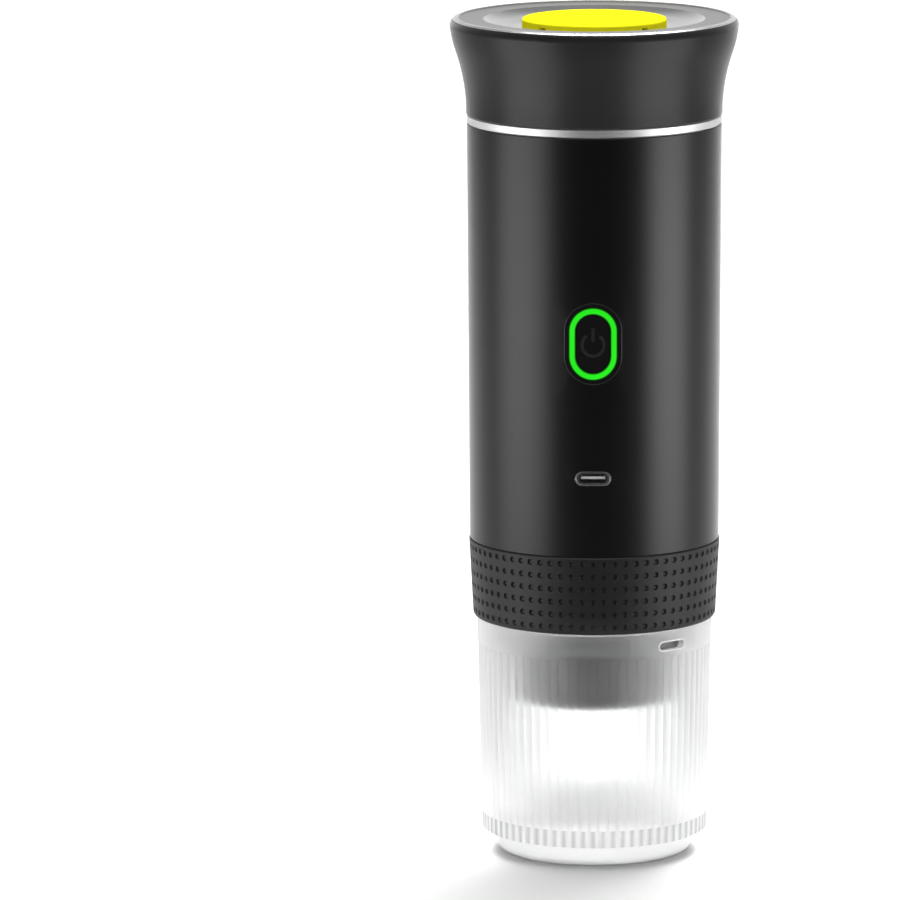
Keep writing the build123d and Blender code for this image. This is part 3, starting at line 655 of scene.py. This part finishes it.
def thicken(piece, depth):
    """Turns a sheet into a thin solid, backwards from its front."""
    shape = bmesh.new()
    shape.from_mesh(piece.data)
    bmesh.ops.solidify(shape, geom=shape.faces[:], thickness=depth)
    bmesh.ops.recalc_face_normals(shape, faces=shape.faces)
    shape.to_mesh(piece.data)
    shape.free()
    return piece


class Maker(Tree):
    """A Geometry Nodes tree with named inputs."""

    def __init__(self, name, inputs):
        super().__init__(bpy.data.node_groups.new(name, "GeometryNodeTree"))
        face = self.nodes.interface
        face.new_socket("Geometry", in_out="INPUT", socket_type="NodeSocketGeometry")
        for label, kind in inputs.items():
            face.new_socket(label, in_out="INPUT", socket_type=kind)
        face.new_socket("Geometry", in_out="OUTPUT", socket_type="NodeSocketGeometry")
        self.start = self.nodes.nodes.new("NodeGroupInput")
        self.end = self.nodes.nodes.new("NodeGroupOutput")

    def given(self, label):
        return Wire(self, self.start.outputs[label])

    def round_axis(self, geometry):
        """Copies of a geometry round the axis, as many as Count says."""
        count = self.given("Count")
        share = self.node("GeometryNodeInputIndex") / count
        values = {
            "Points": self.node("GeometryNodePoints", values={"Count": count}),
            "Instance": geometry,
            "Rotation": self.vector(up=share * math.tau),
        }
        return self.node("GeometryNodeInstanceOnPoints", values=values)

    def close(self, geometry):
        """Ends the tree in plain geometry with its material."""
        plain = self.node("GeometryNodeRealizeInstances", values={0: geometry})
        values = {0: plain, "Distance": merge_distance}
        whole = self.node("GeometryNodeMergeByDistance", values=values)
        values = {0: whole, "Material": self.given("Material")}
        self.feed(self.end.inputs[0], self.node("GeometryNodeSetMaterial", values=values))
        return self

    def apply(self, piece, values):
        """Runs the tree on a piece and leaves the result as the piece's plain mesh."""
        modifier = piece.modifiers.new(self.nodes.name, "NODES")
        modifier.node_group = self.nodes
        for item in self.nodes.interface.items_tree:
            if item.in_out == "INPUT" and item.name in values:
                modifier[item.identifier] = values[item.name]
        graph = bpy.context.evaluated_depsgraph_get()
        mesh = bpy.data.meshes.new_from_object(piece.evaluated_get(graph))
        piece.modifiers.clear()
        piece.data = mesh
        mesh.name = piece.name
        return piece


def ring_repeat():
    """Tree that repeats its geometry round the axis."""
    tree = Maker("ring_repeat", {"Count": "NodeSocketInt", "Material": "NodeSocketMaterial"})
    return tree.close(tree.round_axis(tree.given("Geometry")))


def place_copies():
    """Tree that puts a shape on each point, turned about its own axis by chance."""
    inputs = {
        "Shape": "NodeSocketObject",
        "Tilt": "NodeSocketFloat",
        "Chance Turn": "NodeSocketFloat",
        "Seed": "NodeSocketInt",
        "Material": "NodeSocketMaterial",
    }
    tree = Maker("place_copies", inputs)
    shape = tree.node("GeometryNodeObjectInfo", values={0: tree.given("Shape")}, out="Geometry")
    tilt = tree.vector(tree.given("Tilt"))
    values = {"Points": tree.given("Geometry"), "Instance": shape, "Rotation": tilt}
    copies = tree.node("GeometryNodeInstanceOnPoints", values=values)
    values = {3: tree.given("Chance Turn"), "Seed": tree.given("Seed")}
    chance = tree.node("FunctionNodeRandomValue", values=values, out=1)
    values = {0: copies, "Rotation": tree.vector(up=chance)}
    return tree.close(tree.node("GeometryNodeRotateInstances", values=values))


def wind_ridges():
    """Tree that winds the ridges of a screw thread round the axis, tapered at their ends."""
    numbers = ("Radius", "Height", "Width", "Sink", "Lead", "Low", "Turn", "Taper", "Side")
    inputs = {label: "NodeSocketFloat" for label in numbers}
    inputs |= {"Steps": "NodeSocketInt", "Count": "NodeSocketInt", "Material": "NodeSocketMaterial"}
    tree = Maker("wind_ridges", inputs)
    radius, side = tree.given("Radius"), tree.given("Side")
    line = tree.node("GeometryNodeCurvePrimitiveLine")
    path = tree.node("GeometryNodeResampleCurve", values={0: line, "Count": tree.given("Steps")})
    along = tree.node("GeometryNodeSplineParameter")
    angle = along * tree.given("Turn")
    height = tree.given("Low") + tree.given("Lead") * angle / math.tau
    place = tree.vector(angle.cosine() * radius, angle.sine() * radius, height)
    wound = tree.node("GeometryNodeSetPosition", values={0: path, "Position": place})
    upright = tree.node("GeometryNodeSetCurveNormal", {"mode": "Z_UP"}, {0: wound})
    values = {
        "Height": tree.given("Height"),
        "Bottom Width": tree.given("Width"),
        "Top Width": tree.given("Width") * ridge_top_share,
        "Offset": 0.0,
    }
    section = tree.node("GeometryNodeCurvePrimitiveQuadrilateral", {"mode": "TRAPEZOID"}, values)
    shift = (tree.given("Height") * 0.5 - tree.given("Sink")) * side
    values = {
        0: section,
        "Translation": tree.vector(shift),
        "Rotation": tree.vector(up=side * (-math.pi / 2)),
    }
    laid = tree.node("GeometryNodeTransform", values=values)
    taper = (along * tree.given("Taper")).least((1.0 - along) * tree.given("Taper"))
    scale = taper.least(1.0).most(ridge_end_share)
    values = {0: upright, 1: laid, "Scale": scale, "Fill Caps": True}
    return tree.close(tree.round_axis(tree.node("GeometryNodeCurveToMesh", values=values)))


def finish_piece(piece, body, slot, *nodes):
    """Gives a piece the material of its slot if it has none, puts it on its body, and hides the solids
    that it stands for.
    """
    if not piece.data.materials:
        piece.data.materials.append(FINISHES[slot])
    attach(piece, body)
    if nodes:
        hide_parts(*nodes)


# Grip sleeve with dimples


def grip_radius(height, low, high):
    return grip_foot_radius + (grip_high_radius - grip_foot_radius) * (height - low) / (high - low)


def on_grip(angle, radius, height):
    return Vector((radius * math.sin(angle), -radius * math.cos(angle), height))


def square_share(angle):
    """Where a ray at an angle leaves a square of half width 1."""
    across, up = math.cos(angle), math.sin(angle)
    reach = 1 / max(abs(across), abs(up))
    return across * reach, up * reach


def grip_tile(points, faces, middle_z, low_z, high_z, half_angle, low, high):
    """One dimple in its four-sided patch of the sleeve."""
    start = len(points)
    angles = [math.tau * (corner + 0.5) / dimple_corners for corner in range(dimple_corners)]
    middle_radius = grip_radius(middle_z, low, high)
    for angle in angles:
        across, up = square_share(angle)
        height = middle_z + up * ((high_z - middle_z) if up > 0 else (middle_z - low_z))
        points.append(on_grip(across * half_angle, grip_radius(height, low, high), height))
    for radius_share, depth_share in dimple_ring_shares:
        for angle in angles:
            reach = dimple_radius * radius_share
            height = middle_z + reach * math.sin(angle)
            radius = grip_radius(height, low, high) - dimple_depth * depth_share
            points.append(on_grip(reach * math.cos(angle) / middle_radius, radius, height))
    points.append(on_grip(0, middle_radius - dimple_depth, middle_z))
    rings = len(dimple_ring_shares) + 1
    faces.extend(ring_faces(start, rings, dimple_corners))
    last = start + (rings - 1) * dimple_corners
    for corner in range(dimple_corners):
        faces.append((last + corner, last + (corner + 1) % dimple_corners, len(points) - 1))


def make_grip():
    """Sleeve made of one column of dimples, repeated round the axis."""
    low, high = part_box("grip_sleeve")[0].z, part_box("grip_sleeve")[1].z
    half_angle = math.pi / dimple_columns
    middles = [dimple_first_z - dimple_pitch * row for row in range(dimple_rows)]
    tops = [high - grip_edge] + [z - dimple_pitch / 2 for z in middles[:-1]]
    lows = tops[1:] + [low + grip_round]
    points, faces = [], []
    for middle_z, low_z, high_z in zip(middles, lows, tops):
        grip_tile(points, faces, middle_z, low_z, high_z, half_angle, low, high)
    outline = [(grip_radius(tops[0], low, high), tops[0])]
    outline.append((grip_high_radius - grip_edge, high))
    outline.append((grip_bore, high))
    outline.append((grip_bore, low))
    for step in range(grip_round_steps):
        turn = math.pi / 2 * step / grip_round_steps
        inset = grip_round * (1 - math.sin(turn))
        outline.append((grip_foot_radius - inset, low + grip_round * (1 - math.cos(turn))))
    outline.append((grip_radius(lows[-1], low, high), lows[-1]))
    shares = [-1.0, -math.tan(math.pi / dimple_corners), math.tan(math.pi / dimple_corners), 1.0]
    start = len(points)
    for radius, height in outline:
        points.extend(on_grip(share * half_angle, radius, height) for share in shares)
    for row in range(len(outline) - 1):
        for column in range(len(shares) - 1):
            corner = start + row * len(shares) + column
            below = corner + len(shares)
            faces.append((corner, corner + 1, below + 1, below))
    grip = piece_from("dimpled_grip", points, faces)
    values = {"Count": dimple_columns, "Material": FINISHES["dark_silicone"]}
    ring_repeat().apply(grip, values)
    smooth(outward(grip), grip_crease)
    finish_piece(grip, "brew_head", "dark_silicone", "grip_sleeve")


# Power sign


def shell_point(across, height, sink):
    """Point on the front of the body's tapering shell, or a little below it."""
    low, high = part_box("body_shell")[0].z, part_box("body_shell")[1].z
    share = (height - low) / (high - low)
    radius = shell_low_radius + (shell_high_radius - shell_low_radius) * share - sink
    return Vector((across, -math.sqrt(radius * radius - across * across), height))


def pad_point(across, height):
    """Point just in front of the button's curved pad."""
    return shell_point(across, height, pad_recess - sign_stand)


def make_power_sign():
    """Open ring with a bar, printed on the button."""
    low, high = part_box("light_ring")
    middle = (low.z + high.z) / 2 - sign_drop
    points, faces = [], []
    start_angle = math.radians(90 + sign_gap_angle)
    sweep = math.radians(360 - 2 * sign_gap_angle)
    for step in range(sign_steps + 1):
        angle = start_angle + sweep * step / sign_steps
        for radius in (sign_radius - sign_line / 2, sign_radius + sign_line / 2):
            points.append(pad_point(radius * math.cos(angle), middle + radius * math.sin(angle)))
    for step in range(sign_steps):
        first = 2 * step
        faces.append((first, first + 1, first + 3, first + 2))
    start = len(points)
    for height in (sign_bar_low, sign_bar_high):
        for side in (-1, 1):
            points.append(pad_point(side * sign_line / 2, middle + height))
    faces.append((start, start + 1, start + 3, start + 2))
    sign = piece_from("power_sign", points, faces)
    finish = mottled("sign_print", grey(0.011), grey(0.015), 0.5, paint_waves, shallow_grain)
    sign.data.materials.append(finish)
    finish_piece(thicken(sign, sign_depth), "power_button", "black_gloss")


# Screws and socket contacts


def ring_of_points(radius, height, key_hole=False):
    """Ring round the axis. In that of a key hole, every other point is in the middle of a flat."""
    points = []
    flat_radius = radius * math.cos(math.pi / screw_key_sides)
    for corner in range(screw_corners):
        reach = flat_radius if key_hole and corner % 2 else radius
        angle = math.tau * corner / screw_corners
        points.append((reach * math.cos(angle), reach * math.sin(angle), height))
    return points


def make_screw_shape():
    """One screw with its head low, from the floor of its key hole round to its tip."""
    top = screw_head_height + screw_length
    bevel = screw_head_height / 2
    rings = [
        ring_of_points(screw_key_radius, screw_key_depth, True),
        ring_of_points(screw_key_radius, 0, True),
        ring_of_points(screw_head_radius - bevel, 0),
        ring_of_points(screw_head_radius, bevel),
        ring_of_points(screw_head_radius, screw_head_height),
        ring_of_points(screw_radius, screw_head_height),
        ring_of_points(screw_radius, top - screw_tip),
        ring_of_points(screw_radius - screw_tip, top),
    ]
    points = [point for ring in rings for point in ring]
    faces = [tuple(range(screw_corners)), tuple(range(len(points) - screw_corners, len(points)))]
    faces.extend(ring_faces(0, len(rings), screw_corners))
    return outward(piece_from("screw_shape", points, faces))


def make_contact_shape():
    """One flat contact with broken edges."""
    shape = bmesh.new()
    bmesh.ops.create_cube(shape, size=1)
    bmesh.ops.scale(shape, vec=contact_size, verts=shape.verts)
    bmesh.ops.bevel(
        shape, geom=shape.edges, offset=contact_edge, segments=1, affect="EDGES", profile=0.5
    )
    contact = piece_from("contact_shape", [], [])
    shape.to_mesh(contact.data)
    shape.free()
    return contact


def copies_at(name, shape, places, tilt, chance_turn, finish):
    """Copies of a shape at places, as one piece."""
    piece = piece_from(name, places, [])
    values = {
        "Shape": shape,
        "Tilt": tilt,
        "Chance Turn": chance_turn,
        "Seed": screw_turn_seed,
        "Material": finish,
    }
    return smooth(place_copies().apply(piece, values), edge_crease)


def on_circle(radius, angles, height):
    turns = [math.radians(angle) for angle in angles]
    return [(radius * math.cos(turn), radius * math.sin(turn), height) for turn in turns]


def make_screws():
    """Screws with key holes, in the places of the plain ones."""
    shape = make_screw_shape()
    rows = (
        ("keyed_base_screws", "base_screws", "main_body", post_circle, post_angles, False),
        ("keyed_cradle_screws", "cradle_screws", "main_body", post_circle, post_angles, True),
        ("keyed_lid_screws", "lid_screws", "lid", lid_post_circle, lid_post_angles, False),
        ("keyed_screen_screw", "screen_screw", "main_body", 0, (0,), False),
    )
    for name, node, body, circle, angles, head_up in rows:
        low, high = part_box(node)
        places = on_circle(circle, angles, high.z if head_up else low.z)
        tilt = math.pi if head_up else 0.0
        chance_turn = math.tau / screw_key_sides
        made = copies_at(name, shape, places, tilt, chance_turn, FINISHES["zinc_screw"])
        finish_piece(made, body, "zinc_screw", node)
    bpy.data.objects.remove(shape)


def make_contacts():
    """Two rows of contacts on the tongue of the socket."""
    low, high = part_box("usb_c_tongue")
    shape = make_contact_shape()
    depth = low.y + contact_setback + contact_size[1] / 2
    places = []
    for height in (low.z, high.z):
        for number in range(contact_count):
            across = (number - (contact_count - 1) / 2) * contact_pitch
            places.append((across, depth, height))
    made = copies_at("socket_contacts", shape, places, 0.0, 0.0, FINISHES["nickel"])
    finish_piece(made, "main_body", "nickel")
    bpy.data.objects.remove(shape)


# Screw threads


def make_threads():
    """Ridges of the two screw joints: on the spigot and the plug, and in the bores round them."""
    head = (head_lead, head_starts, head_turn, head_ridge_width)
    lid = (lid_lead, lid_starts, lid_turn, lid_ridge_width)
    collar_low = head_ridge_low + head_ridge_step
    neck_low = lid_ridge_low + lid_ridge_step
    rows = (
        ("spigot_thread", "main_body", head, spigot_radius, head_ridge_low, 1.0),
        ("collar_thread", "brew_head", head, collar_bore, collar_low, -1.0),
        ("plug_thread", "lid", lid, plug_radius, lid_ridge_low, 1.0),
        ("neck_thread", "main_body", lid, neck_bore, neck_low, -1.0),
    )
    for name, body, (lead, starts, turn, width), radius, low, side in rows:
        piece = piece_from(name, [], [])
        values = {
            "Radius": radius,
            "Height": ridge_height + ridge_sink,
            "Width": width,
            "Sink": ridge_sink,
            "Lead": lead,
            "Low": low,
            "Turn": math.radians(turn),
            "Taper": ridge_taper,
            "Side": side,
            "Steps": ridge_steps,
            "Count": starts,
            "Material": FINISHES["dark_plastic"],
        }
        wind_ridges().apply(piece, values)
        finish_piece(smooth(outward(piece), edge_crease), body, "dark_plastic")


# Line round the button's frame, edge of the vent slot and frame of the charging socket, toned lighter
# as painted highlights of those edges


def trace_outline():
    """Tree that lays a thin round bead along a rounded outline on a tapering wall."""
    numbers = ("Width", "Height", "Middle", "Low", "Low Radius", "Slope", "Bead", "Sink", "Turn")
    inputs = {label: "NodeSocketFloat" for label in numbers}
    inputs |= {"Steps": "NodeSocketInt", "Sides": "NodeSocketInt", "Material": "NodeSocketMaterial"}
    tree = Maker("trace_outline", inputs)
    width, tall = tree.given("Width"), tree.given("Height")
    values = {"Width": width, "Height": tall}
    box = tree.node("GeometryNodeCurvePrimitiveQuadrilateral", values=values)
    rounding = width.least(tall) * outline_round_share
    values = {0: box, "Radius": rounding, "Count": tree.given("Steps")}
    pill = tree.node("GeometryNodeFilletCurve", {"mode": "POLY"}, values)
    across, up, _ = tree.split(tree.node("GeometryNodeInputPosition"))
    height = up + tree.given("Middle")
    radius = tree.given("Low Radius") + (height - tree.given("Low")) * tree.given("Slope")
    radius = radius - tree.given("Sink")
    depth = (radius * radius - across * across) ** 0.5
    place = tree.vector(across, 0.0 - depth, height)
    laid = tree.node("GeometryNodeSetPosition", values={0: pill, "Position": place})
    values = {"Resolution": tree.given("Sides"), "Radius": tree.given("Bead")}
    section = tree.node("GeometryNodeCurvePrimitiveCircle", values=values)
    bead = tree.node("GeometryNodeCurveToMesh", values={0: laid, 1: section})
    values = {0: bead, "Rotation": tree.vector(up=tree.given("Turn"))}
    return tree.close(tree.node("GeometryNodeTransform", values=values))


def make_bead(name, size, middle, low, low_radius, slope, bead, turn, finish):
    """Bead along a rounded outline on a tapering wall, turned from the front about the axis."""
    piece = piece_from(name, [], [])
    values = {
        "Width": size[0],
        "Height": size[1],
        "Middle": middle,
        "Low": low,
        "Low Radius": low_radius,
        "Slope": slope,
        "Bead": bead,
        "Sink": bead_sink,
        "Turn": math.radians(turn),
        "Steps": outline_corner_steps,
        "Sides": bead_sides,
        "Material": finish,
    }
    return smooth(outward(trace_outline().apply(piece, values)), bead_crease)


def make_bezel_line():
    """Thin bead round the button's frame, grey against the black body as a painted highlight of the
    frame's edge.
    """
    low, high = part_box("body_shell")
    ring_low, ring_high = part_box("light_ring")
    middle = (ring_low.z + ring_high.z) / 2
    slope = (shell_high_radius - shell_low_radius) / (high.z - low.z)
    # The bead's grey is a painted highlight of the frame's edge
    finish = mottled("bezel_edge", grey(0.020), grey(0.030), 0.35, paint_waves, shallow_grain)
    line = make_bead(
        "bezel_line", bezel_size, middle, low.z, shell_low_radius, slope, bezel_line, 0, finish
    )
    finish_piece(line, "main_body", "black_gloss")


def make_vent_edge():
    """Rounded edge of the vent slot in the cup's band, painted white as a highlight of that edge."""
    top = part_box("cup")[1].z
    slope = cup_taper / (top - cup_foot_top)
    # The bead's white is a painted highlight, where light would catch the slot's edge
    finish = mottled("vent_edge", grey(0.96), grey(1.0), 0.3, 2000.0, shallow_grain)
    edge = make_bead(
        "vent_edge",
        vent_size,
        top - vent_drop,
        cup_foot_top,
        cup_rim_radius - cup_taper,
        slope,
        vent_bead,
        vent_angle,
        finish,
    )
    finish_piece(edge, "cup", "clear_plastic")


def pill_ring(size, middle, depth=None):
    """Rounded outline on the front of the body, or flat at a depth."""
    round_radius = size[1] / 2
    reach = size[0] / 2 - round_radius
    ring = []
    for side in (1, -1):
        for step in range(socket_frame_steps + 1):
            angle = math.pi * (step / socket_frame_steps - 0.5)
            across = side * (reach + round_radius * math.cos(angle))
            height = middle + side * round_radius * math.sin(angle)
            front = shell_point(across, height, 0)
            ring.append(front if depth is None else Vector((across, depth, height)))
    return ring


def make_socket_frame():
    """Sloped frame between the body's opening and the charging socket, grey as a painted highlight of
    light on the slope.
    """
    low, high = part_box("usb_c_socket")
    middle = (low.z + high.z) / 2
    socket_frame_back = socket_frame_front + socket_frame_depth
    rings = [
        pill_ring(socket_frame_outer, middle),
        pill_ring(socket_frame_inner, middle, socket_frame_front),
        pill_ring(socket_frame_inner, middle, socket_frame_back),
        pill_ring(socket_frame_outer, middle, socket_frame_back),
    ]
    points = [point for ring in rings for point in ring]
    faces = ring_faces(0, len(rings), len(rings[0]), closed=True)
    frame_piece = piece_from("socket_frame", points, faces)
    # The frame's grey is a painted highlight of light on the slope
    finish = mottled("frame_grey", grey(0.16), grey(0.20), 0.4, 2500.0, shallow_grain)
    frame_piece.data.materials.append(finish)
    finish_piece(smooth(outward(frame_piece), edge_crease), "main_body", "dark_plastic")


# Solids that show as they are


def dress_solids():
    """Gives every solid the finish of its slot, or its own."""
    for row in frame["record"]["subparts"]:
        for place in frame["nodes"][row["node"]].material_slots:
            place.material = NODE_FINISHES.get(row["node"], FINISHES[row["material_slot"]])


# Camera, floor and light


def make_camera():
    lens = bpy.data.cameras.new("camera")
    lens.lens = camera_lens
    lens.sensor_width = sensor_width
    camera = bpy.data.objects.new("camera", lens)
    scene.collection.objects.link(camera)
    tip, roll, yaw = (math.radians(angle) for angle in camera_turns)
    turn = Euler((0, 0, yaw)).to_matrix() @ Euler((tip, 0, 0)).to_matrix()
    turn = turn @ Euler((0, 0, roll)).to_matrix()
    camera.location = camera_place
    camera.rotation_euler = turn.to_euler()
    scene.camera = camera


def pale_floor():
    """Pale floor that the object mirrors darker in front of it and far out to its sides."""
    finish = Finish("pale_floor")
    cloud = finish.noise(floor_waves, fine_detail)
    across, along, _ = finish.split(finish.object_place)
    behind = (1.0 - along.within(mirror_back, mirror_fade)).eased()
    beside = across.absolute().within(mirror_side, mirror_fade).eased()
    seen = finish.node("ShaderNodeLightPath", out="Is Camera Ray")
    through = finish.node("ShaderNodeLightPath", out="Is Transmission Ray")
    share = seen.most(through).most(behind * beside)
    pale = finish.blend(cloud, grey(0.88), grey(0.90))
    colour = finish.blend(share, grey(mirror_dark), pale)
    return finish.set(Base_Color=colour, Roughness=floor_roughness + cloud * gloss_spread).material


def make_floor():
    corners = [(-1, -1), (1, -1), (1, 1), (-1, 1)]
    points = [(x * floor_half, y * floor_half, -floor_drop) for x, y in corners]
    floor = piece_from("floor", points, [(0, 1, 2, 3)])
    floor.data.materials.append(pale_floor())
    return floor


# Soft lights: name, place, point that they face, width and height, power and spread of the beam
LIGHTS = (("overhead_front", (0, -1.45, 0.9), (0, -1.45, 0), (6.0, 3.0), 28.0, 65.0),)

# Soft lights from behind, which don't fall on the plate of the lid
BACK_LIGHTS = (
    ("overhead_back", (0, 1.55, 0.9), (0, 1.55, 0), (6.0, 3.0), 81.0, 65.0),
    ("back_light", (0.10, 0.42, 0.95), (0, -0.02, 0), (0.7, 0.5), 1.3, 45.0),
)

# Soft light that falls on the plate of the lid alone
PLATE_LIGHTS = (("plate_light", (0, -0.35, 0.78), (0, 0, 0.238), (0.8, 0.7), 0.9, 90.0),)

# Soft lights near the object, which don't fall on the floor or the shell of the lid
NEAR_LIGHTS = (
    ("left_strip", (-0.385, -0.168, 0.09), (0, 0, 0.09), (0.42, 0.22), 0.345, 90.0),
    ("right_strip", (0.395, -0.144, 0.09), (0, 0, 0.09), (0.30, 0.22), 0.31, 90.0),
    ("rim_light", (0, -0.15, 0.0665), (0, 0, 0.0665), (0.26, 0.004), 0.0015, 6.0),
    ("foot_light", (0, -0.15, 0.010), (0, 0, 0.010), (0.26, 0.026), 0.022, 16.0),
    ("cup_light", (0, 0, 0.042), (0, 0, 0), (0.05, 0.05), 0.009, 130.0),
)

# Soft lights that fall on the shell of the lid alone
LID_LIGHTS = (
    ("lid_left_strip", (-0.166, -0.112, 0.10), (0, 0, 0.10), (0.18, 0.20), 0.62, 140.0),
    ("lid_right_strip", (0.166, -0.112, 0.10), (0, 0, 0.10), (0.18, 0.20), 0.62, 140.0),
)

# Soft lights that fall on the floor alone, beside the foot
FLOOR_LIGHTS = (
    ("floor_left", (-0.055, 0.03, 0.05), (-0.034, 0.008, 0), (0.03, 0.03), 0.009, 60.0),
    ("floor_right", (0.055, 0.03, 0.05), (0.034, 0.008, 0), (0.03, 0.03), 0.009, 60.0),
)

# Brightness of the room from in front of the object to behind it, less from high up, and the
# backdrop that the camera sees in its place
SKY_FALL = 1.2
SKY_STOPS = ((0.0, grey(0.15)), (0.5, grey(0.15)), (1.0, grey(0.9)))
BACKDROP = grey(0.95)


def softbox(name, place, target, size, power, spread):
    """Soft rectangular light that faces a point, with its beam kept within an angle."""
    light = bpy.data.lights.new(name, "AREA")
    light.shape = "RECTANGLE"
    light.size, light.size_y = size
    light.energy = power
    light.spread = math.radians(spread)
    lamp = bpy.data.objects.new(name, light)
    lamp.location = place
    lamp.rotation_euler = (Vector(target) - Vector(place)).to_track_quat("-Z", "Y").to_euler()
    lamp.visible_camera = False
    scene.collection.objects.link(lamp)
    return lamp


def lights_on(state, *pieces):
    """Collection that keeps a light to some pieces, or off them."""
    receivers = bpy.data.collections.new(state.lower() + "_" + pieces[0].name)
    for piece in pieces:
        receivers.objects.link(piece)
    for member in receivers.collection_objects:
        member.light_linking.link_state = state
    return receivers


def light_studio(floor):
    plate = frame["nodes"]["lid_top_plate"]
    shell = frame["nodes"]["lid_shell"]
    for rows, receivers in (
        (LIGHTS, None),
        (BACK_LIGHTS, lights_on("EXCLUDE", plate)),
        (PLATE_LIGHTS, lights_on("INCLUDE", plate)),
        (LID_LIGHTS, lights_on("INCLUDE", shell)),
        (FLOOR_LIGHTS, lights_on("INCLUDE", floor)),
        (NEAR_LIGHTS, lights_on("EXCLUDE", floor, shell)),
    ):
        for row in rows:
            softbox(*row).light_linking.receiver_collection = receivers
    world = bpy.data.worlds.new("studio")
    world.use_nodes = True
    tree = Tree(world.node_tree)
    place = tree.node("ShaderNodeTexCoord", out="Generated")
    _, back, up = tree.split(place)
    share = (back - up.most(0.0) * SKY_FALL).raised()
    sky = tree.node("ShaderNodeValToRGB", {"stops": SKY_STOPS}, {0: share})
    seen = tree.node("ShaderNodeLightPath", out="Is Camera Ray")
    colour = tree.blend(seen, sky, BACKDROP)
    tree.feed(world.node_tree.nodes["Background"].inputs["Color"], colour)
    scene.world = world
    scene.view_settings.view_transform = "Standard"


make_camera()
light_studio(make_floor())
dress_solids()
make_grip()
make_power_sign()
make_screws()
make_contacts()
make_threads()
make_bezel_line()
make_vent_edge()
make_socket_frame()
